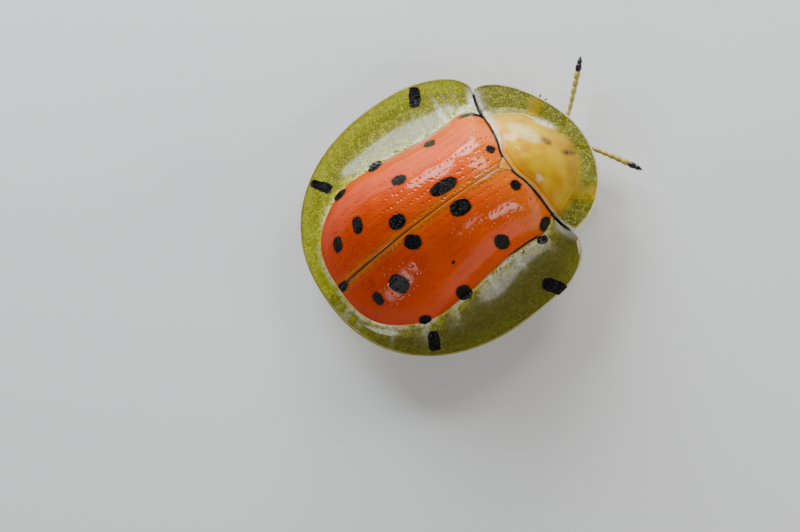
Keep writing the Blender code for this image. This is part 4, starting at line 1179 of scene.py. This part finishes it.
class BeetleColours(bpy.types.PropertyGroup):
    """Colours of the beetle's finishes, in linear light."""
    orange: tint("Orange", "Wing cases in front", (0.80, 0.085, 0.0))
    deep_orange: tint("Deep orange", "Wing cases at the rear and along their edges", (0.46, 0.028, 0.0))
    yellow_orange: tint("Yellow orange", "Along the suture and the bases", (0.80, 0.19, 0.002))
    suture_tan: tint("Suture tan", "The bands along the suture", (0.52, 0.19, 0.008))
    pit_brown: tint("Puncture brown", "Inside the punctures", (0.26, 0.03, 0.002))
    # This brown also paints shade on the body where the shells cover it.
    seam_brown: tint("Seam brown", "Seams and covered places", (0.06, 0.025, 0.01))
    black: tint("Black", "Spots, claws and feeler tips", (0.0015, 0.0012, 0.0012))
    clear_olive: tint("Clear olive", "The clear margin and shield", (0.38, 0.36, 0.004))
    # Painted shade: the darker olive laid over the right margin.
    deep_olive: tint("Deep olive", "The clear margin on the right", (0.10, 0.088, 0.0))
    net_brown: tint("Net", "The net of cells in the clear sheets", (0.06, 0.052, 0.0))
    rim_yellow: tint("Rim", "Rims and beads", (0.80, 0.78, 0.52))
    rim_gold: tint("Rim gold", "The margin's rim at the sides and the tail", (0.40, 0.34, 0.07))
    # Besides the shield's bead, this cream paints highlights: along the suture's raised border, the margin's
    # front sheen, and the shield's fold line and sheen patch.
    bead_cream: tint("Bead", "The pale bead on the shield's hind edge", (0.80, 0.79, 0.66))
    # Partly painted reflection: the pale milky patch in front on the shield.
    milk: tint("Milk", "A pale patch in front on the shield", (0.84, 0.70, 0.30))
    film: tint("Film", "What the clear margin lets through", (0.67, 0.70, 0.21))
    shield_film: tint("Shield film", "What the clear part of the shield lets through", (0.66, 0.69, 0.42))
    golden: tint("Golden", "The brightest cells of the net", (0.82, 0.76, 0.05))
    amber: tint("Amber", "The middle of the shield", (0.82, 0.50, 0.0))
    deep_amber: tint("Deep amber", "Clouds in the shield", (0.70, 0.35, 0.0))
    body_yellow: tint("Body yellow", "The underside", (0.66, 0.42, 0.10))
    body_tan: tint("Body tan", "Clouds on the underside", (0.50, 0.27, 0.06))
    limb_yellow: tint("Limb yellow", "Legs and feelers", (0.36, 0.30, 0.03))
    leg_amber: tint("Leg amber", "Legs", (0.80, 0.30, 0.01))
    floor: tint("Floor", "The floor", (0.90, 0.90, 0.89))


# Operators

class BeetleOperator(bpy.types.Operator):
    """What the beetle's operators share: their settings and a plain finish."""
    bl_options = {"REGISTER", "UNDO"}

    def execute(self, context):
        self.build(context.scene.beetle_shape, context.scene.beetle_colours)
        return {"FINISHED"}


class BEETLE_OT_discs(BeetleOperator):
    """Build the two domed, spotted discs"""
    bl_idname = "beetle.discs"
    bl_label = "Discs"

    def build(self, shape, colours):
        material = wing_paint(colours)
        left = wing_disc(shape, SPOTS_LEFT + EDGE_SPOTS_LEFT, 11, 0.0)
        right = wing_disc(shape, mirrored_spots(SPOTS_RIGHT + EDGE_SPOTS_RIGHT), 12, 1.0).mirrored()
        add_piece("elytron_disc_left", left, material, "wing_case", "wing_case_left")
        add_piece("elytron_disc_right", right, material, "wing_case", "wing_case_right")


class BEETLE_OT_margins(BeetleOperator):
    """Build the clear margin round each disc"""
    bl_idname = "beetle.margins"
    bl_label = "Margins"

    def build(self, shape, colours):
        material = margin_paint(colours)
        left = margin(shape, BARS_LEFT, EDGE_SPOTS_LEFT, 21, 0.0)
        bars, edge_spots = mirrored_spots(BARS_RIGHT), mirrored_spots(EDGE_SPOTS_RIGHT)
        right = margin(shape, bars, edge_spots, 22, 1.0).mirrored()
        add_piece("elytron_margin_left", left, material, "margin", "wing_case_left")
        add_piece("elytron_margin_right", right, material, "margin", "wing_case_right")


class BEETLE_OT_shield(BeetleOperator):
    """Build the shield over the head and the small plate behind it"""
    bl_idname = "beetle.shield"
    bl_label = "Shield"

    def build(self, shape, colours):
        add_piece("pronotum_shield", shield(shape), shield_paint(colours), "pronotum", "pronotum")
        add_piece("scutellum_plate", scutellum(shape), plate_paint(colours), "scutellum", "scutellum")


class BEETLE_OT_trunk(BeetleOperator):
    """Build the body under the shells"""
    bl_idname = "beetle.trunk"
    bl_label = "Trunk"

    def build(self, shape, colours):
        material = body_paint(colours, "body yellow")
        add_piece("trunk_hind", trunk(), material, "body", "thorax", "abdomen")
        add_piece("trunk_front", prothorax(), material, "body", "prothorax")


class BEETLE_OT_head(BeetleOperator):
    """Build the head with its eyes and mouthparts"""
    bl_idname = "beetle.head"
    bl_label = "Head"

    def build(self, shape, colours):
        material = body_paint(colours, "head yellow")
        add_piece("head_capsule", posed(head_capsule()), material, "body", "head")
        add_piece("mouth_details", posed(mouth()), material, "body", "mouthparts")
        eye = ball((0.66, -3.1, 1.47), (0.2, 0.3, 0.34), 40, 48)
        black = eye_paint(colours)
        add_piece("eye_facets_left", posed(eye), black, "eye", "eye_left")
        add_piece("eye_facets_right", posed(eye.mirrored()), black, "eye", "eye_right")


class BEETLE_OT_feelers(BeetleOperator):
    """Build the two jointed feelers"""
    bl_idname = "beetle.feelers"
    bl_label = "Feelers"

    def build(self, shape, colours):
        material = limb_paint(colours, "feeler yellow", "limb_yellow", "club", 0.79, 0.83)
        add_piece("feeler_joints_left", feeler(shape, FEELER_LEFT), material, "limb", "antenna_left")
        add_piece("feeler_joints_right", feeler(shape, FEELER_RIGHT), material, "limb", "antenna_right")


class BEETLE_OT_legs(BeetleOperator):
    """Build the six legs"""
    bl_idname = "beetle.legs"
    bl_label = "Legs"

    def build(self, shape, colours):
        material = limb_paint(colours, "leg amber", "leg_amber", "claw", 0.1, 0.8)
        for place, left_plan, right_plan in (("front", FRONT_LEG_LEFT, FRONT_LEG_RIGHT),
                                             ("middle", MIDDLE_LEG, MIDDLE_LEG),
                                             ("hind", HIND_LEG, HIND_LEG)):
            for side, plan, flip in (("left", left_plan, 1.0), ("right", right_plan, -1.0)):
                add_piece(f"leg_joints_{place}_{side}", leg(shape, plan, flip), material, "limb",
                          f"leg_{place}_{side}")


class BEETLE_OT_stage(BeetleOperator):
    """Lay the pale floor, and place the lights and the camera"""
    bl_idname = "beetle.stage"
    bl_label = "Stage"

    def build(self, shape, colours):
        mesh = bpy.data.meshes.new("floor")
        corners = [(-1, -1), (1, -1), (1, 1), (-1, 1)]
        mesh.from_pydata([(x * FLOOR_HALF_SIZE, y * FLOOR_HALF_SIZE, 0.0) for x, y in corners], [],
                         [(0, 1, 2, 3)])
        mesh.materials.append(floor_paint(colours))
        floor = bpy.data.objects.new("floor", mesh)
        bpy.context.scene.collection.objects.link(floor)
        self.light_world()
        for light in LIGHTS:
            self.add_light(*light)
        self.add_camera()

    def light_world(self):
        """An even, dim, cool light from all round."""
        world = bpy.data.worlds.new("soft room")
        world.use_nodes = True
        background = world.node_tree.nodes["Background"]
        background.inputs["Color"].default_value = ROOM_COLOUR
        background.inputs["Strength"].default_value = ROOM_STRENGTH
        bpy.context.scene.world = world

    def add_light(self, name, direction, distance, width, height, power, colour):
        """An elliptic light that looks at the beetle from a direction; sizes are in millimetres."""
        data = bpy.data.lights.new(name, "AREA")
        data.shape = "ELLIPSE"
        data.size, data.size_y = width * MM, height * MM
        data.energy = power
        data.color = colour
        backward = np.array(direction) / np.linalg.norm(direction)
        right = np.cross((0.0, 0.0, 1.0), backward)
        right /= np.linalg.norm(right)
        place = backward * distance * MM + (0.0, 0.0, LIGHT_TARGET_HEIGHT)
        add_to_stage(name, data, right, np.cross(backward, right), backward, place)

    def add_camera(self):
        """The camera looks down on the beetle, its head to the lower right of the frame."""
        heading, tilt = math.radians(CAMERA_HEADING), math.radians(CAMERA_TILT)
        backward = np.array([-math.sin(tilt), 0.0, math.cos(tilt)])
        forward = np.array([0.0, -1.0, 0.0])
        aside = np.array([-math.cos(tilt), 0.0, -math.sin(tilt)])
        right = math.cos(heading) * forward + math.sin(heading) * aside
        up = math.sin(heading) * forward - math.cos(heading) * aside
        data = bpy.data.cameras.new("camera")
        data.sensor_fit = "HORIZONTAL"
        data.sensor_width = CAMERA_SENSOR
        data.lens = CAMERA_SENSOR * CAMERA_DISTANCE / CAMERA_FRAME
        data.clip_start, data.clip_end = CAMERA_CLIP
        target = np.array(CAMERA_TARGET) - (0.0, SHIFT_Y, 0.0)
        place = (target + CAMERA_DISTANCE * backward) * MM
        bpy.context.scene.camera = add_to_stage("camera", data, right, up, backward, place)


OPERATORS = (BEETLE_OT_stage, BEETLE_OT_discs, BEETLE_OT_margins, BEETLE_OT_shield, BEETLE_OT_trunk,
             BEETLE_OT_head, BEETLE_OT_feelers, BEETLE_OT_legs)


class BEETLE_PT_panel(bpy.types.Panel):
    """The beetle's settings and operators in the sidebar"""
    bl_label = "Tortoise beetle"
    bl_space_type = "VIEW_3D"
    bl_region_type = "UI"
    bl_category = "Beetle"

    def draw(self, context):
        for group in (context.scene.beetle_shape, context.scene.beetle_colours):
            for name in type(group).__annotations__:
                self.layout.prop(group, name)
        for operator in OPERATORS:
            self.layout.operator(operator.bl_idname)


CLASSES = (BeetleShape, BeetleColours, *OPERATORS, BEETLE_PT_panel)


def register():
    for item in CLASSES:
        bpy.utils.register_class(item)
    bpy.types.Scene.beetle_shape = bpy.props.PointerProperty(type=BeetleShape)
    bpy.types.Scene.beetle_colours = bpy.props.PointerProperty(type=BeetleColours)


def unregister():
    del bpy.types.Scene.beetle_colours
    del bpy.types.Scene.beetle_shape
    for item in reversed(CLASSES):
        bpy.utils.unregister_class(item)


def main():
    """Register the add-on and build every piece."""
    register()
    for step in (bpy.ops.beetle.stage, bpy.ops.beetle.discs, bpy.ops.beetle.margins, bpy.ops.beetle.shield,
                 bpy.ops.beetle.trunk, bpy.ops.beetle.head, bpy.ops.beetle.feelers, bpy.ops.beetle.legs):
        step()
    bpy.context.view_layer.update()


if __name__ == "__main__":
    main()
